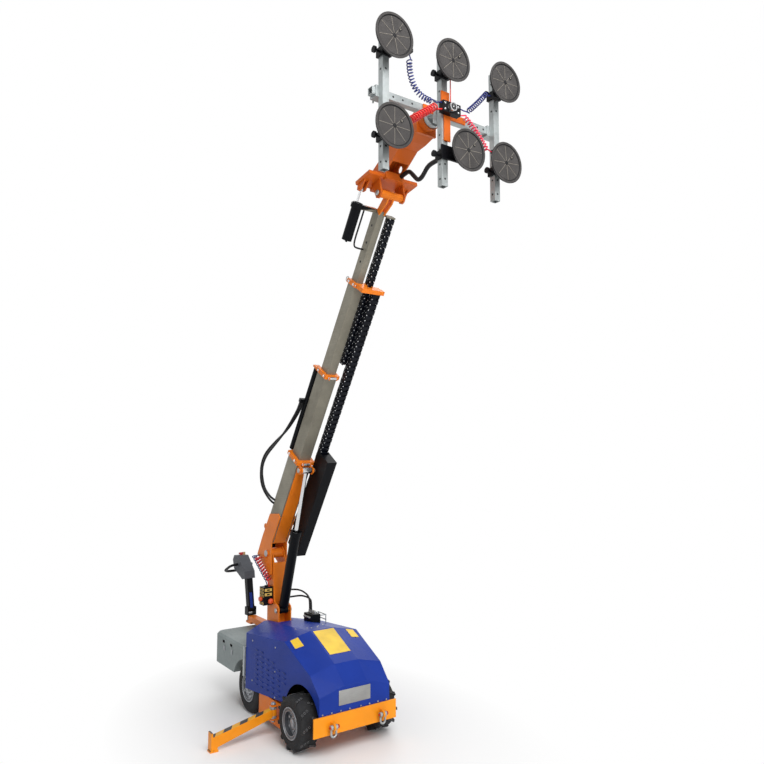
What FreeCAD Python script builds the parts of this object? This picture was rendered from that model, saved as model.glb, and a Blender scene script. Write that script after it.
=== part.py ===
import FreeCAD, Part
import math
import os
from FreeCAD import Vector as V, Placement, Rotation

os.makedirs("parts", exist_ok=True)

# Glass panel lifter. Millimetres, +X forward, +Y to the machine's left, +Z up.
# The origin is on the ground midway between the front wheels.

# Shared clearances
turn_gap = 0.5
slide_gap = 0.8
wear_gap = 0.6

# Wheels
tyre_radius = 205.0
front_x = 0.0
front_y = 352.0
front_tyre_half = 82.0
front_rim_half = 72.0
front_disc = 43.0
rear_x = -915.0
rear_y = 310.0
rear_tyre_half = 47.0
rear_rim_half = 38.0
rear_disc = 36.0
bead_radius = 103.0
flange_radius = 117.0
stub_radius = 17.5
lug_count = 11
lug_step = 24.0
lug_sweep = 38.0

# Frame
rail_in = 190.0
rail_out = 240.0
rail_low = 150.0
rail_high = 250.0
rail_back = -1160.0
nose_x = 252.0
side_plate_y = 350.0
side_plate_t = 8.0
bumper_t = 10.0
bumper_half = 373.0
bumper_low = 160.0
bumper_high = 300.0
shackle_y = 222.0
shackle_x = 296.0
shackle_z = 225.0
shackle_pin = 9.5
shackle_bar = 8.0
shackle_half = 21.0
shackle_leg = 48.0
shackle_lug_t = 16.0

# Hood stations: x, side half width, side bottom, side top, centre half width, centre height, centre x
hood_t = 3.0
hood_rear = (-920.0, 375.0, 205.0, 670.0, 120.0, 700.0, -1100.0)
hood_ridge = (-270.0, 343.0, 262.0, 730.0, 105.0, 780.0, -270.0)
hood_fold = (115.0, 325.0, 276.0, 562.0, 107.0, 612.0, 115.0)
hood_front = (248.0, 318.0, 282.0, 430.0, 103.0, 486.0, 248.0)
hood_tail_low = 556.0
arch_radius = 250.0
arch_lift = 10.0

# Counterweight
weight_back = -1600.0
weight_front = -960.0
weight_half = 390.0
weight_low = 285.0
weight_high = 550.0
weight_wall = 70.0
weight_top = 80.0

# Tower
tower_back = -1150.0
tower_front = -1035.0
tower_half = 65.0
tower_plate = 10.0
pivot_x = -1130.0
pivot_z = 1300.0
pivot_pin = 25.0
barrel_x = -960.0
barrel_z = 810.0
lift_pin = 15.0

# Tiller
arm_low = 585.0
arm_high = 635.0
arm_end = -1620.0
tiller_x = arm_end - 32.0
column_top_x = tiller_x - 60.0
column_top_z = arm_high + 340.0
column_half = 30.0

# Stabiliser legs
leg_x = -345.0
leg_y = 395.0
leg_half = 26.0
leg_length = 512.0
leg_pin = 12.0
foot_half = 31.0

# Boom, measured along u from the main pivot and along w square to it
boom_angle = 57.5
axis_w = 80.0
tube_depth = 180.0
tube_width = 145.0
tube_wall = 6.0
one_depth = 146.0
one_width = 110.0
two_depth = 116.0
two_width = 82.0
three_depth = 90.0
three_width = 58.0
stage_wall = 5.0
tube_start = 130.0
tube_end = 1000.0
one_start = 842.0
one_end = 1850.0
two_start = 1600.0
two_end = 2670.0
three_start = 2370.0
three_end = 3280.0
collar_length = 34.0
cheek_t = 10.0
ram_u = 965.0
ram_w = -65.0
gland = 760.0
barrel_out = 44.0
barrel_in = 36.0
lift_rod_radius = 17.0
lift_rod_length = 700.0
stroke_y = -36.0
stroke_w = 207.0
stroke_radius = 26.0
stroke_bore = 21.0
stroke_rod = 14.0
stroke_low = 1026.0
trough_in = 78.0
trough_out = 172.0
trough_near = -32.0
trough_far = -228.0
trough_start = 135.0
trough_end = 1150.0
link_pitch = 65.0

# Head
tilt_u = three_end + 143.0
tilt_w = 0.0
tilt_pin = 14.0
boss_half = 100.0
ear_in = 102.0
ear_t = 14.0
lever_radius = 130.0
lever_lean = 8.0
tilt_up = 35.0
tilt_down = 30.0
tilt_y = -190.0
tilt_out = 40.0
tilt_in = 31.0
tilt_rod_radius = 9.0
boom_turn = math.radians(boom_angle)
rail_x = pivot_x + tilt_u * math.cos(boom_turn) - 49.177
rail_z = pivot_z + tilt_u * math.sin(boom_turn) + 111.071
rail_tilt = 10.0
rail_long = 95.0
rail_t = 14.0
rail_half = 225.0
carriage_half = 85.0
slew_z = rail_z + 307.0
neck_x = rail_x + 467.0
slew_x = neck_x + 73.0
bar_x = slew_x + 65.0
post_x = bar_x + 56.0
post_half = 25.0
post_down = 540.0
post_up = 430.0
post_low = slew_z - post_down
post_high = slew_z + post_up
post_y = 500.0
bar_left = -570.0
bar_right = 545.0
pad_radius = 150.0
pad_face = post_x + 126.0
pad_rise = 319.0
pad_drop = 287.0
pad_upper = slew_z + pad_rise
pad_lower = slew_z - pad_drop
clamp_upper = pad_upper - 62.0
clamp_lower = pad_lower - 33.0
offset_pad_y = 134.0
hose_x = post_x + 65.0
hose_radius = 4.0
coil_radius = 15.0


def box(x0, x1, y0, y1, z0, z1):
    return Part.makeBox(x1 - x0, y1 - y0, z1 - z0, V(x0, y0, z0))


def rod(start, end, radius):
    return Part.makeCylinder(radius, (end - start).Length, start, end - start)


def rod_y(x, z, y0, y1, radius):
    return rod(V(x, y0, z), V(x, y1, z), radius)


def rod_x(y, z, x0, x1, radius):
    return rod(V(x0, y, z), V(x1, y, z), radius)


def rod_z(x, y, z0, z1, radius):
    return rod(V(x, y, z0), V(x, y, z1), radius)


def prism(points, direction):
    wire = Part.makePolygon(points + [points[0]])
    return Part.Face(wire).extrude(direction)


def plate_y(points, y0, y1):
    return prism([V(x, y0, z) for x, z in points], V(0, y1 - y0, 0))


def plate_z(points, z0, z1):
    return prism([V(x, y, z0) for x, y in points], V(0, 0, z1 - z0))


def join(shapes):
    whole = shapes[0]
    if len(shapes) > 1:
        whole = whole.multiFuse(shapes[1:])
    return whole.removeSplitter()


def spin_y(points):
    wire = Part.makePolygon([V(r, y, 0) for r, y in points + [points[0]]])
    return Part.Face(wire).revolve(V(0, 0, 0), V(0, 1, 0), 360)


def spin_x(points):
    wire = Part.makePolygon([V(x, r, 0) for x, r in points + [points[0]]])
    return Part.Face(wire).revolve(V(0, 0, 0), V(1, 0, 0), 360)


def moved(shape, x, y, z):
    copy = shape.copy()
    copy.translate(V(x, y, z))
    return copy


def mirrored(shape):
    return shape.mirror(V(0, 0, 0), V(0, 1, 0))


def both_sides(shape):
    return [shape, mirrored(shape)]


def placed(shape, placement):
    copy = shape.copy()
    copy.Placement = placement.multiply(copy.Placement)
    return copy


def keep(name, shape):
    shape.exportStep("parts/" + name + ".step")


boom_place = Placement(V(pivot_x, 0, pivot_z), Rotation(V(0, 1, 0), -boom_angle))


def on_boom(shape):
    return placed(shape, boom_place)


def boom_point(u, y, w):
    return boom_place.multVec(V(u, y, w))


# Tubes that follow a path of straight runs and tangent arcs
def arc_between(start, corner, end):
    middle = (start + end) * 0.5
    half = (end - start).Length / 2
    rise = (corner - middle).Length
    if rise < 1e-6:
        return Part.LineSegment(start, end).toShape()
    angle = math.atan2(rise, half)
    peak = middle + (corner - middle) * (math.tan(angle / 2) / math.tan(angle))
    return Part.Arc(start, peak, end).toShape()


def swept(edges, start, direction, radius, sides):
    path = Part.Wire(edges)
    if sides == 0:
        profile = Part.Wire([Part.makeCircle(radius, start, direction)])
    else:
        direction = V(direction).normalize()
        across = direction.cross(V(0.31, 0.22, 0.93)).normalize()
        other = direction.cross(across)
        ring = []
        for number in range(sides):
            turn = 2 * math.pi * number / sides
            ring.append(start + across * (radius * math.cos(turn)) + other * (radius * math.sin(turn)))
        profile = Part.makePolygon(ring + [ring[0]])
    shell = Part.BRepOffsetAPI.MakePipeShell(path)
    shell.add(profile)
    shell.build()
    shell.makeSolid()
    solid = shell.shape()
    if sides == 0:
        section = math.pi * radius * radius
    else:
        section = 0.5 * sides * radius * radius * math.sin(2 * math.pi / sides)
    ratio = abs(solid.Volume) / (section * path.Length)
    print("tube length %.0f, volume over section x length %.3f" % (path.Length, ratio))
    return solid


def curve_points(controls, count):
    points = []
    for number in range(count + 1):
        t = number / count
        level = list(controls)
        while len(level) > 1:
            level = [level[i] * (1 - t) + level[i + 1] * t for i in range(len(level) - 1)]
        points.append(level[0])
    return points


def through(points, count):
    # A smooth curve through the given points, sampled evenly enough for hose runs
    ends = [points[0] * 2 - points[1]] + points + [points[-1] * 2 - points[-2]]
    fine = []
    for a, b, c, d in zip(ends, ends[1:], ends[2:], ends[3:]):
        for number in range(20):
            t = number / 20.0
            fine.append((b * 2 + (c - a) * t + (a * 2 - b * 5 + c * 4 - d) * (t * t)
                         + (b * 3 - a - c * 3 + d) * (t * t * t)) * 0.5)
    fine.append(points[-1])
    lengths = [0.0]
    for before, after in zip(fine, fine[1:]):
        lengths.append(lengths[-1] + (after - before).Length)
    picked = []
    for number in range(count + 1):
        target = lengths[-1] * number / count
        index = min(range(len(fine)), key=lambda i: abs(lengths[i] - target))
        picked.append(fine[index])
    return picked


def hose(points, radius, sides=6):
    edges = []
    here = points[0]
    smallest = 1e9
    last = len(points) - 3
    for number, (before, corner, after) in enumerate(zip(points, points[1:], points[2:])):
        back = before - corner
        ahead = after - corner
        half_turn = (math.pi - back.getAngle(ahead)) / 2
        back_share = 0.9 if number == 0 else 0.45
        ahead_share = 0.9 if number == last else 0.45
        cut = min(back_share * back.Length, ahead_share * ahead.Length)
        smallest = min(smallest, cut / math.tan(half_turn))
        arc_start = corner + back * (cut / back.Length)
        arc_end = corner + ahead * (cut / ahead.Length)
        edges.append(Part.LineSegment(here, arc_start).toShape())
        edges.append(arc_between(arc_start, corner, arc_end))
        here = arc_end
    edges.append(Part.LineSegment(here, points[-1]).toShape())
    print("hose least bend radius %.0f for diameter %.0f" % (smallest, 2 * radius))
    return swept(edges, points[0], points[1] - points[0], radius, sides)


def squared(points, start_way, end_way):
    # Short straight ends, so that a hose meets its fittings squarely
    lead = 30.0
    return [points[0], points[0] + start_way * lead] + points[1:-1] + [points[-1] - end_way * lead,
                                                                       points[-1]]


def biarc(p0, t0, p1, t1):
    span = p1 - p0
    total = t0 + t1
    a = 2 * (1 - t0.dot(t1))
    b = 2 * span.dot(total)
    c = -span.dot(span)
    if abs(a) < 1e-9:
        reach = -c / b
    else:
        reach = (-b + math.sqrt(b * b - 4 * a * c)) / (2 * a)
    first = p0 + t0 * reach
    second = p1 - t1 * reach
    joint = (first + second) * 0.5
    return [arc_between(p0, first, joint), arc_between(joint, second, p1)]


def coil(start, start_way, end, end_way, bend, turns, side, across):
    # A coiled hose: straight ends square to their ports and a helix round a bent axis between them
    lead = 2.2 * coil_radius
    tail = 2 * hose_radius
    head_point = start + start_way * tail
    tail_point = end - end_way * tail
    a = head_point + start_way * lead
    b = tail_point - end_way * lead
    mid = (a + b) * 0.5 if bend is None else bend
    steps = int(turns * 2)

    def axis(s):
        return a * ((1 - s) ** 2) + mid * (2 * s * (1 - s)) + b * (s * s)

    def helix(s):
        way = (axis(s + 1e-4) - axis(s - 1e-4)).normalize()
        up = across.cross(way).normalize()
        turn = 2 * math.pi * turns * s * side
        return axis(s) + up * (coil_radius * math.cos(turn)) + across * (coil_radius * math.sin(turn))

    knots = [(head_point, start_way)]
    for number in range(steps + 1):
        s = number / steps
        knots.append((helix(s), (helix(s + 1e-4) - helix(s - 1e-4)).normalize()))
    knots.append((tail_point, end_way))
    edges = [Part.LineSegment(start, head_point).toShape()]
    for (p0, t0), (p1, t1) in zip(knots, knots[1:]):
        edges.extend(biarc(p0, t0, p1, t1))
    edges.append(Part.LineSegment(tail_point, end).toShape())
    samples = [helix(i / (24.0 * turns)) for i in range(int(24 * turns) + 1)]
    gap = min((samples[i] - samples[j]).Length for i in range(len(samples)) for j in range(i + 13,
                                                                                           len(samples)))
    print("coil of %.1f turns, least self gap %.1f" % (turns, gap - 2 * hose_radius))
    return swept(edges, start, start_way, hose_radius, 4)


# Wheels
def tyre(half, rim_half, lugs):
    tread = tyre_radius if not lugs else tyre_radius - 14
    profile = [(bead_radius, -rim_half), (flange_radius + 1, -rim_half), (flange_radius + 10, -half),
               (tread - 28, -half), (tread - 8, -half + 8), (tread, -half + 22),
               (tread, half - 22), (tread - 8, half - 8), (tread - 28, half),
               (flange_radius + 10, half), (flange_radius + 1, rim_half), (bead_radius, rim_half)]
    body = spin_y(profile)
    if not lugs:
        return body
    corner = lug_step / 2 + lug_sweep
    top = math.sqrt(tyre_radius ** 2 - corner ** 2)
    bars = []
    for number in range(lug_count):
        for side in (1, -1):
            near = 4.0
            far = half - 4
            points = [(-lug_step / 2, side * near), (lug_step / 2, side * near),
                      (corner, side * far), (lug_sweep - lug_step / 2, side * far)]
            bar = plate_z(points, tread - 24, top)
            turn = 360.0 / lug_count * (number + 0.25 * (side + 1))
            bar.rotate(V(0, 0, 0), V(0, 1, 0), turn)
            bars.append(bar)
    return join([body] + bars)


def rim(half, disc):
    flange = half + 6
    well = 92.0
    profile = [(well, -half), (bead_radius, -half), (flange_radius, -half), (flange_radius, -flange),
               (well, -flange)]
    side_a = spin_y(profile)
    side_b = spin_y([(r, -y) for r, y in profile])
    barrel = spin_y([(well - 5, -flange), (bead_radius, -flange), (bead_radius, flange),
                     (well - 5, flange)])
    web = spin_y([(stub_radius + turn_gap, disc - 6), (well, disc - 6), (well, disc),
                  (stub_radius + turn_gap, disc)])
    hub = spin_y([(stub_radius + turn_gap, disc - 60), (34, disc - 60), (34, disc + 14), (0, disc + 14),
                  (0, disc + 8), (stub_radius + turn_gap, disc + 8)])
    nuts = []
    for number in range(5):
        turn = 2 * math.pi * number / 5
        x = 56 * math.cos(turn)
        z = 56 * math.sin(turn)
        nuts.append(rod_y(x, z, disc, disc + 9, 8))
    return join([barrel, side_a, side_b, web, hub] + nuts)


front_tyre = tyre(front_tyre_half, front_rim_half, True)
rear_tyre = tyre(rear_tyre_half, rear_rim_half, False)
front_rim = rim(front_rim_half, front_disc)
rear_rim = rim(rear_rim_half, rear_disc)
keep("tyre_front_left", moved(front_tyre, front_x, front_y, tyre_radius))
keep("rim_front_left", moved(front_rim, front_x, front_y, tyre_radius))
keep("tyre_rear_left", moved(rear_tyre, rear_x, rear_y, tyre_radius))
keep("rim_rear_left", moved(rear_rim, rear_x, rear_y, tyre_radius))
keep("tyre_front_right", mirrored(moved(front_tyre, front_x, front_y, tyre_radius)))
keep("rim_front_right", mirrored(moved(front_rim, front_x, front_y, tyre_radius)))
keep("tyre_rear_right", mirrored(moved(rear_tyre, rear_x, rear_y, tyre_radius)))
keep("rim_rear_right", mirrored(moved(rear_rim, rear_x, rear_y, tyre_radius)))

# Axle stubs, each with a flange on the rail's outer face
front_end = front_y + front_disc + 8 - 2 * turn_gap
rear_end = rear_y + rear_disc + 8 - 2 * turn_gap
stub_front = join([rod_y(front_x, tyre_radius, rail_out, rail_out + 16, 44),
                   rod_y(front_x, tyre_radius, rail_out + 16, front_end, stub_radius)])
stub_rear = join([rod_y(rear_x, tyre_radius, rail_out, rail_out + 12, 44),
                  rod_y(rear_x, tyre_radius, rail_out + 12, rear_end, stub_radius)])
axle_stubs = both_sides(stub_front) + both_sides(stub_rear)

# Frame with rails, cross members, side plates and leg brackets
bracket_low = 132.0
bracket_high = 228.0
bracket_t = 8.0
frame_pieces = []
for side in both_sides(box(rail_back, nose_x - 12, rail_in, rail_out, rail_low, rail_high)):
    frame_pieces.append(side)
frame_pieces.append(box(nose_x - 12, nose_x, -rail_out, rail_out, rail_low + 12, rail_high + 22))
for x0, x1 in ((-320, -260), (-720, -660), (rail_back, rail_back + 60)):
    frame_pieces.append(box(x0, x1, -rail_in, rail_in, rail_low, rail_high))
outer_x0 = -700.0
outer_x1 = -300.0
for x0, x1 in ((-690, -640), (-370, -320)):
    frame_pieces.extend(both_sides(box(x0, x1, rail_out, side_plate_y - side_plate_t, rail_low + 10,
                                       rail_high - 30)))
side_plate = box(outer_x0, outer_x1, side_plate_y - side_plate_t, side_plate_y, 50, 236)
frame_pieces.extend(both_sides(side_plate))
bracket_shape = [(leg_x - 45, side_plate_y), (leg_x + 40, side_plate_y), (leg_x + 26, leg_y + 24),
                 (leg_x - 26, leg_y + 24)]
for z0 in (bracket_low - bracket_t, bracket_high):
    frame_pieces.extend(both_sides(plate_z(bracket_shape, z0, z0 + bracket_t)))
frame_pieces.extend(both_sides(rod_z(leg_x, leg_y, bracket_low - bracket_t - 8,
                                     bracket_high + bracket_t + 8, leg_pin)))
floor_plate = box(-640, 150, -rail_in, rail_in, rail_high - 6, rail_high)
frame_pieces.append(floor_plate)
keep("chassis_frame", join(frame_pieces + axle_stubs))

# Bumper with two shackle lugs
bumper_pieces = [box(nose_x, nose_x + bumper_t, -bumper_half, bumper_half, bumper_low, bumper_high)]
for y in (-shackle_y, shackle_y):
    lug = box(nose_x + bumper_t, shackle_x, y - shackle_lug_t / 2, y + shackle_lug_t / 2,
              shackle_z - 30, shackle_z + 30)
    tip = rod_y(shackle_x, shackle_z, y - shackle_lug_t / 2, y + shackle_lug_t / 2, 26)
    bumper_pieces.extend([lug, tip])
bumper = join(bumper_pieces)
for y in (-shackle_y, shackle_y):
    bumper = bumper.cut(rod_y(shackle_x, shackle_z, y - 20, y + 20, shackle_pin + turn_gap))
keep("bumper", bumper)

# Shackle: pin, two eyes, two legs and a round bow
eye_in = shackle_lug_t / 2 + 2
eye_out = shackle_half + shackle_bar
shackle_pieces = [rod_y(0, 0, -eye_out - 6, eye_out + 10, shackle_pin)]
for side in (1, -1):
    shackle_pieces.append(rod_y(0, 0, side * eye_in, side * eye_out, 18))
shackle_pieces.append(rod_y(0, 0, eye_out + 10, eye_out + 15, 14))
leg_top = V(0, shackle_half, 0)
leg_low = V(0, shackle_half, -shackle_leg)
far_low = V(0, -shackle_half, -shackle_leg)
bow_arc = Part.Arc(leg_low, V(0, 0, -shackle_leg - shackle_half), far_low).toShape()
bow_line = [Part.LineSegment(leg_top, leg_low).toShape(), bow_arc,
            Part.LineSegment(far_low, V(0, -shackle_half, 0)).toShape()]
bow = swept(bow_line, leg_top, V(0, 0, -1), shackle_bar, 8)
shackle_pieces.append(bow)
shackle = join(shackle_pieces)
keep("shackle_left", moved(shackle, shackle_x, shackle_y, shackle_z))
keep("shackle_right", moved(shackle, shackle_x, -shackle_y, shackle_z))


# Hood of folded sheet, open below, with wheel arches and a slot for the tower
def hood_solid(inset):
    rings = []
    for x, side, low, high, centre, top, centre_x in (hood_rear, hood_ridge, hood_fold, hood_front):
        shift = 0.0
        if x == hood_rear[0]:
            shift = inset
        if x == hood_front[0]:
            shift = -inset
        s = side - inset
        c = centre - 0.3 * inset
        h = high - 0.9 * inset
        t = top - 1.05 * inset
        drop = low - 40 * (inset > 0)
        x = x + shift
        cx = centre_x + shift
        rings.append([V(x, -s, drop), V(x, -s, h), V(cx, -c, t), V(cx, c, t), V(x, s, h), V(x, s, drop)])
    faces = []
    for back, front in zip(rings, rings[1:]):
        for i in range(6):
            j = (i + 1) % 6
            faces.append(Part.Face(Part.makePolygon([back[i], back[j], front[j], back[i]])))
            faces.append(Part.Face(Part.makePolygon([back[i], front[j], front[i], back[i]])))
    for ring in (rings[0], rings[-1]):
        for i, j, k in ((0, 1, 2), (0, 2, 3), (0, 3, 5), (5, 3, 4)):
            faces.append(Part.Face(Part.makePolygon([ring[i], ring[j], ring[k], ring[i]])))
    solid = Part.Solid(Part.Shell(faces))
    if solid.Volume < 0:
        solid.reverse()
    return solid.removeSplitter()


hood = hood_solid(0.0).cut(hood_solid(hood_t))
hood = hood.cut(rod_y(front_x, tyre_radius + arch_lift, -500, 500, arch_radius))
hood = hood.cut(box(-1200, hood_rear[0] - 2, -500, 500, 0, hood_tail_low))
hood = hood.cut(box(-1200, -900, -tower_half - 12, tower_half + 12, 0, 900))
keep("hood", hood)

# Power pack under the hood, battery box and pump unit, kept in one node with its valve block
power = join([box(-640, -330, -180, 180, rail_high, 520), box(-250, 60, -140, 140, rail_high, 430),
              box(-330, -250, -60, 60, rail_high, 400)])

# Counterweight: hollow middle casting and two side slabs, with arches over the rear wheels
weight_round = 80.0
weight_shape = [(weight_front, -weight_half), (weight_front, weight_half)]
for turn in range(0, 91, 15):
    x = weight_back + weight_round - weight_round * math.sin(math.radians(turn))
    y = weight_half - weight_round + weight_round * math.cos(math.radians(turn))
    weight_shape.append((x, y))
for x, y in reversed(weight_shape[2:]):
    weight_shape.append((x, -y))
weight = plate_z(weight_shape, weight_low, weight_high)
upper_edges = []
for edge in weight.Edges:
    if abs(edge.BoundBox.ZMin - weight_high) < 1 and edge.CenterOfMass.x < weight_front - 5:
        upper_edges.append(edge)
weight = weight.makeChamfer(18, upper_edges)
hollow = box(weight_back + 1.6 * weight_wall, weight_front - weight_wall, -weight_half + weight_wall,
             weight_half - weight_wall, weight_low - 1, weight_high - weight_top)
weight = weight.cut(hollow)
weight = weight.cut(rod_y(rear_x, tyre_radius, -500, 500, tyre_radius + 30))
weight = weight.cut(box(tower_back - 4, weight_front + 1, -tower_half - 4, tower_half + 4, 0, 900))
weight = weight.cut(box(rail_back - 4, weight_front + 1, -rail_out - 4, rail_out + 4, 0, rail_high + 4))
for x in (-1400, -1230):
    weight = weight.cut(box(x, x + 46, -weight_half - 1, -weight_half + 22, 488, 512))
    weight = weight.cut(box(x, x + 46, weight_half - 22, weight_half + 1, 488, 512))
slab_edge = weight_half - weight_wall
side_slabs = both_sides(box(weight_back - 1, weight_front + 1, slab_edge, weight_half + 1, 0, 900))
weight_solids = weight.cut(side_slabs[0]).cut(side_slabs[1]).Solids
for slab in side_slabs:
    weight_solids.extend(weight.common(slab).Solids)
keep("counterweight", Part.makeCompound(weight_solids))

# Galvanised bracket that carries the front of the counterweight beside the tower
bracket_foot = weight_low + 15
bracket_cross = 2 * tyre_radius + 22
bracket_near = rear_y + rear_tyre_half + 9
cross = box(weight_front, weight_front + 30, tower_half, weight_half - 4, bracket_cross, bracket_cross + 114)
drop_bar = box(weight_front, weight_front + 30, bracket_near, weight_half - 4, bracket_foot, bracket_cross)
bracket = join([cross, drop_bar])
keep("weight_bracket", Part.makeCompound(both_sides(bracket)))

# Tower: two side plates joined by back and front plates, with the main pivot and the tiller arm
tower_side = [(tower_back, rail_high), (-930, rail_high), (-922, 780), (-926, 842), (-960, 862),
              (-1010, 880),
              (tower_front + 10, 1000), (tower_front, 1230), (pivot_x + 62, pivot_z + 20),
              (pivot_x + 30, pivot_z + 55), (pivot_x - 30, pivot_z + 55), (pivot_x - 62, pivot_z + 20),
              (tower_back - 8, 1200), (tower_back, 1100)]
tower_pieces = both_sides(plate_y(tower_side, tower_half - tower_plate, tower_half))
inner = tower_half - tower_plate
tower_pieces.append(box(tower_back, tower_back + tower_plate, -inner, inner, rail_high, 1195))
tower_pieces.append(box(tower_front - tower_plate, tower_front, -inner, inner, rail_high, 1225))
tower_pieces.append(box(tower_back, -930, -inner, inner, rail_high, rail_high + 14))
tower_pieces.append(rod_y(pivot_x, pivot_z, -inner, inner, 48))
tower_pieces.append(rod_y(pivot_x, pivot_z, -96, 96, pivot_pin))
tower_pieces.append(rod_y(barrel_x, barrel_z, -tower_half - 8, tower_half + 8, lift_pin))
tower_pieces.append(box(arm_end, tower_back, -38, 38, arm_low, arm_high))
tower_pieces.append(plate_y([(tower_back, arm_high), (tower_back, arm_high + 120), (-1300, arm_high)],
                            -8, 8))
tower_pieces.append(rod_z(tiller_x, 0, arm_low - 20, arm_high - 30, 18))
tower_pieces.append(box(arm_end - 50, arm_end + 60, -38, 38, arm_low - 20, arm_low))
tower = join(tower_pieces)
tower_seam = pivot_z - 240
tower_head = box(-2000, 0, -500, 500, tower_seam, tower_seam + 900)
keep("tower", Part.makeCompound(tower.cut(tower_head).Solids + tower.common(tower_head).Solids))

# Control box on the tower's right side, with a round knob
control = join([box(-1120, -1035, -tower_half - 95, -tower_half, 850, 1010),
                rod_y(-1077, 905, -tower_half - 118, -tower_half - 95, 20),
                rod_z(-1077, -tower_half - 50, 1010, 1022, 16)])
keep("control_box", control)

# Valve block on the hood's rear with two hoses to the tower
valve_x = -760.0
valve_y = 190.0
deck = 740.0
valve_pieces = [box(valve_x - 70, valve_x + 70, valve_y - 45, valve_y + 45, deck - 50, deck + 52)]
for shift in (-45, -15, 15, 45):
    valve_pieces.append(rod_z(valve_x + shift, valve_y, deck + 52, deck + 78, 11))
valve_block = join(valve_pieces).cut(hood_solid(0.0))
keep("power_pack", Part.makeCompound([power, valve_block]))
valve_hoses = []
for number, shift in enumerate((-45, -15)):
    start = V(valve_x + shift, valve_y, deck + 78)
    finish = V(-1060 + 34 * number, tower_half, 960 - 60 * number)
    controls = [start, start + V(0, 0, 160), V(-930, 250, 1040 - 60 * number), finish + V(0, 190, 0),
                finish]
    valve_hoses.append(hose(squared(curve_points(controls, 9), V(0, 0, 1), V(0, -1, 0)), 8.0))
keep("valve_hoses", Part.makeCompound(valve_hoses))

# Tiller: swivel base, column, head with loop, and its controls
fork_low = arm_high + 2
tiller_base = join([rod_z(tiller_x, 0, arm_low + turn_gap, fork_low + 6, 30),
                    box(tiller_x - 34, tiller_x + 34, -46, 46, fork_low, fork_low + 12),
                    box(tiller_x - 34, tiller_x + 34, 34, 46, fork_low + 12, fork_low + 78),
                    box(tiller_x - 34, tiller_x + 34, -46, -34, fork_low + 12, fork_low + 78)])
tiller_base = tiller_base.cut(rod_z(tiller_x, 0, arm_low - 40, arm_high - 30 + 1, 18 + turn_gap))
tilt_axis_z = fork_low + 50
tiller_base = join([tiller_base, rod_y(tiller_x, tilt_axis_z, -46, 46, 9)])
keep("tiller_base", tiller_base)

column_way = V(column_top_x - tiller_x, 0, column_top_z - tilt_axis_z)
lean = math.degrees(math.atan2(-column_way.x, column_way.z))
column_length = column_way.Length
column = join([box(-column_half, column_half, -column_half, column_half, 0, column_length),
               rod_y(0, 0, -column_half, column_half, 26)])
column = column.cut(box(-column_half + 4, column_half - 4, -column_half + 4, column_half - 4, 60,
                        column_length + 1))
column = column.cut(rod_y(0, 0, -60, 60, 9 + turn_gap))
column_place = Placement(V(tiller_x, 0, tilt_axis_z), Rotation(V(0, 1, 0), -lean))
keep("tiller_column", placed(column, column_place))

# The head sits square on the column's end; its own frame has +X to the operator
head_place = Placement(V(column_top_x, 0, column_top_z), Rotation(V(0, 1, 0), -lean))
head = plate_y([(35, 0), (35, 70), (-90, 235), (-190, 250), (-230, 210), (-215, 120), (-60, 20),
                (-35, 0)], -55, 55)
head = join([head])
loop_out = 118.0
loop_r = 13.0
loop_points = [V(-120, 55, 150), V(-120, loop_out - 20, 150), V(-170, loop_out, 140),
               V(-300, loop_out, 110),
               V(-345, loop_out - 40, 100), V(-345, -loop_out + 40, 100), V(-300, -loop_out, 110),
               V(-170, -loop_out, 140),
               V(-120, -loop_out + 20, 150), V(-120, -55, 150)]
loop = hose(loop_points, loop_r, 8)
stop_bore = rod(V(-140, 0, 200), V(-140, 0, 300), 16 + turn_gap)
belly_bore = rod_x(0, 165, -260, -190, 15 + turn_gap)
paddle_slot = box(-200, -130, 25, 56, 205, 260)
head = head.cut(Part.makeCompound([stop_bore, belly_bore, paddle_slot]))
head = join([head, rod_y(-165, 218, 23, 56, 5)])
keep("tiller_head", Part.makeCompound([placed(head, head_place), placed(loop, head_place)]))
stop = join([rod(V(-140, 0, 212), V(-140, 0, 252), 16), rod(V(-140, 0, 252), V(-140, 0, 268), 24)])
keep("stop_button", placed(stop, head_place))
belly = join([rod_x(0, 165, -232, -200, 15), rod_x(0, 165, -248, -232, 26)])
keep("belly_button", placed(belly, head_place))
paddle = join([rod_y(-165, 218, 26, 55, 11), box(-171, -159, 26, 55, 218, 272)])
paddle = paddle.cut(rod_y(-165, 218, 0, 80, 5 + turn_gap))
keep("throttle_paddle", placed(paddle, head_place))


# Stabiliser leg: hub, sloping arm and upright foot, drawn pointing out along -Y from its pin
def leg():
    arm = [(-20, 208), (-20, 145), (-leg_length + 20, 26), (-leg_length, 26), (-leg_length, 108)]
    body = prism([V(-leg_half, y, z) for y, z in arm], V(2 * leg_half, 0, 0))
    foot = box(-foot_half, foot_half, -leg_length - 14, -leg_length, 12, 142)
    sole = box(-foot_half, foot_half, -leg_length - 20, -leg_length + 46, 0, 12)
    web = box(-leg_half, leg_half, -leg_length, -leg_length + 40, 12, 40)
    hub = rod_z(0, 0, bracket_low + turn_gap, bracket_high - turn_gap, 27)
    whole = join([body, foot, sole, web, hub])
    return whole.cut(rod_z(0, 0, 0, 400, leg_pin + turn_gap))


leg_shape = leg()
keep("stabiliser_leg_right", moved(leg_shape, leg_x, -leg_y, 0))
stowed = leg_shape.copy()
stowed.rotate(V(0, 0, 0), V(0, 0, 1), -90)
keep("stabiliser_leg_left", moved(stowed, leg_x, leg_y, 0))


# Boom, drawn along +X with w along +Z, then set at its angle
def section(u0, u1, depth, width):
    return box(u0, u1, -width / 2, width / 2, axis_w - depth / 2, axis_w + depth / 2)


def hollow_tube(u0, u1, depth, width, wall):
    return section(u0, u1, depth, width).cut(section(u0 - 1, u1 + 1, depth - 2 * wall, width - 2 * wall))


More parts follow.
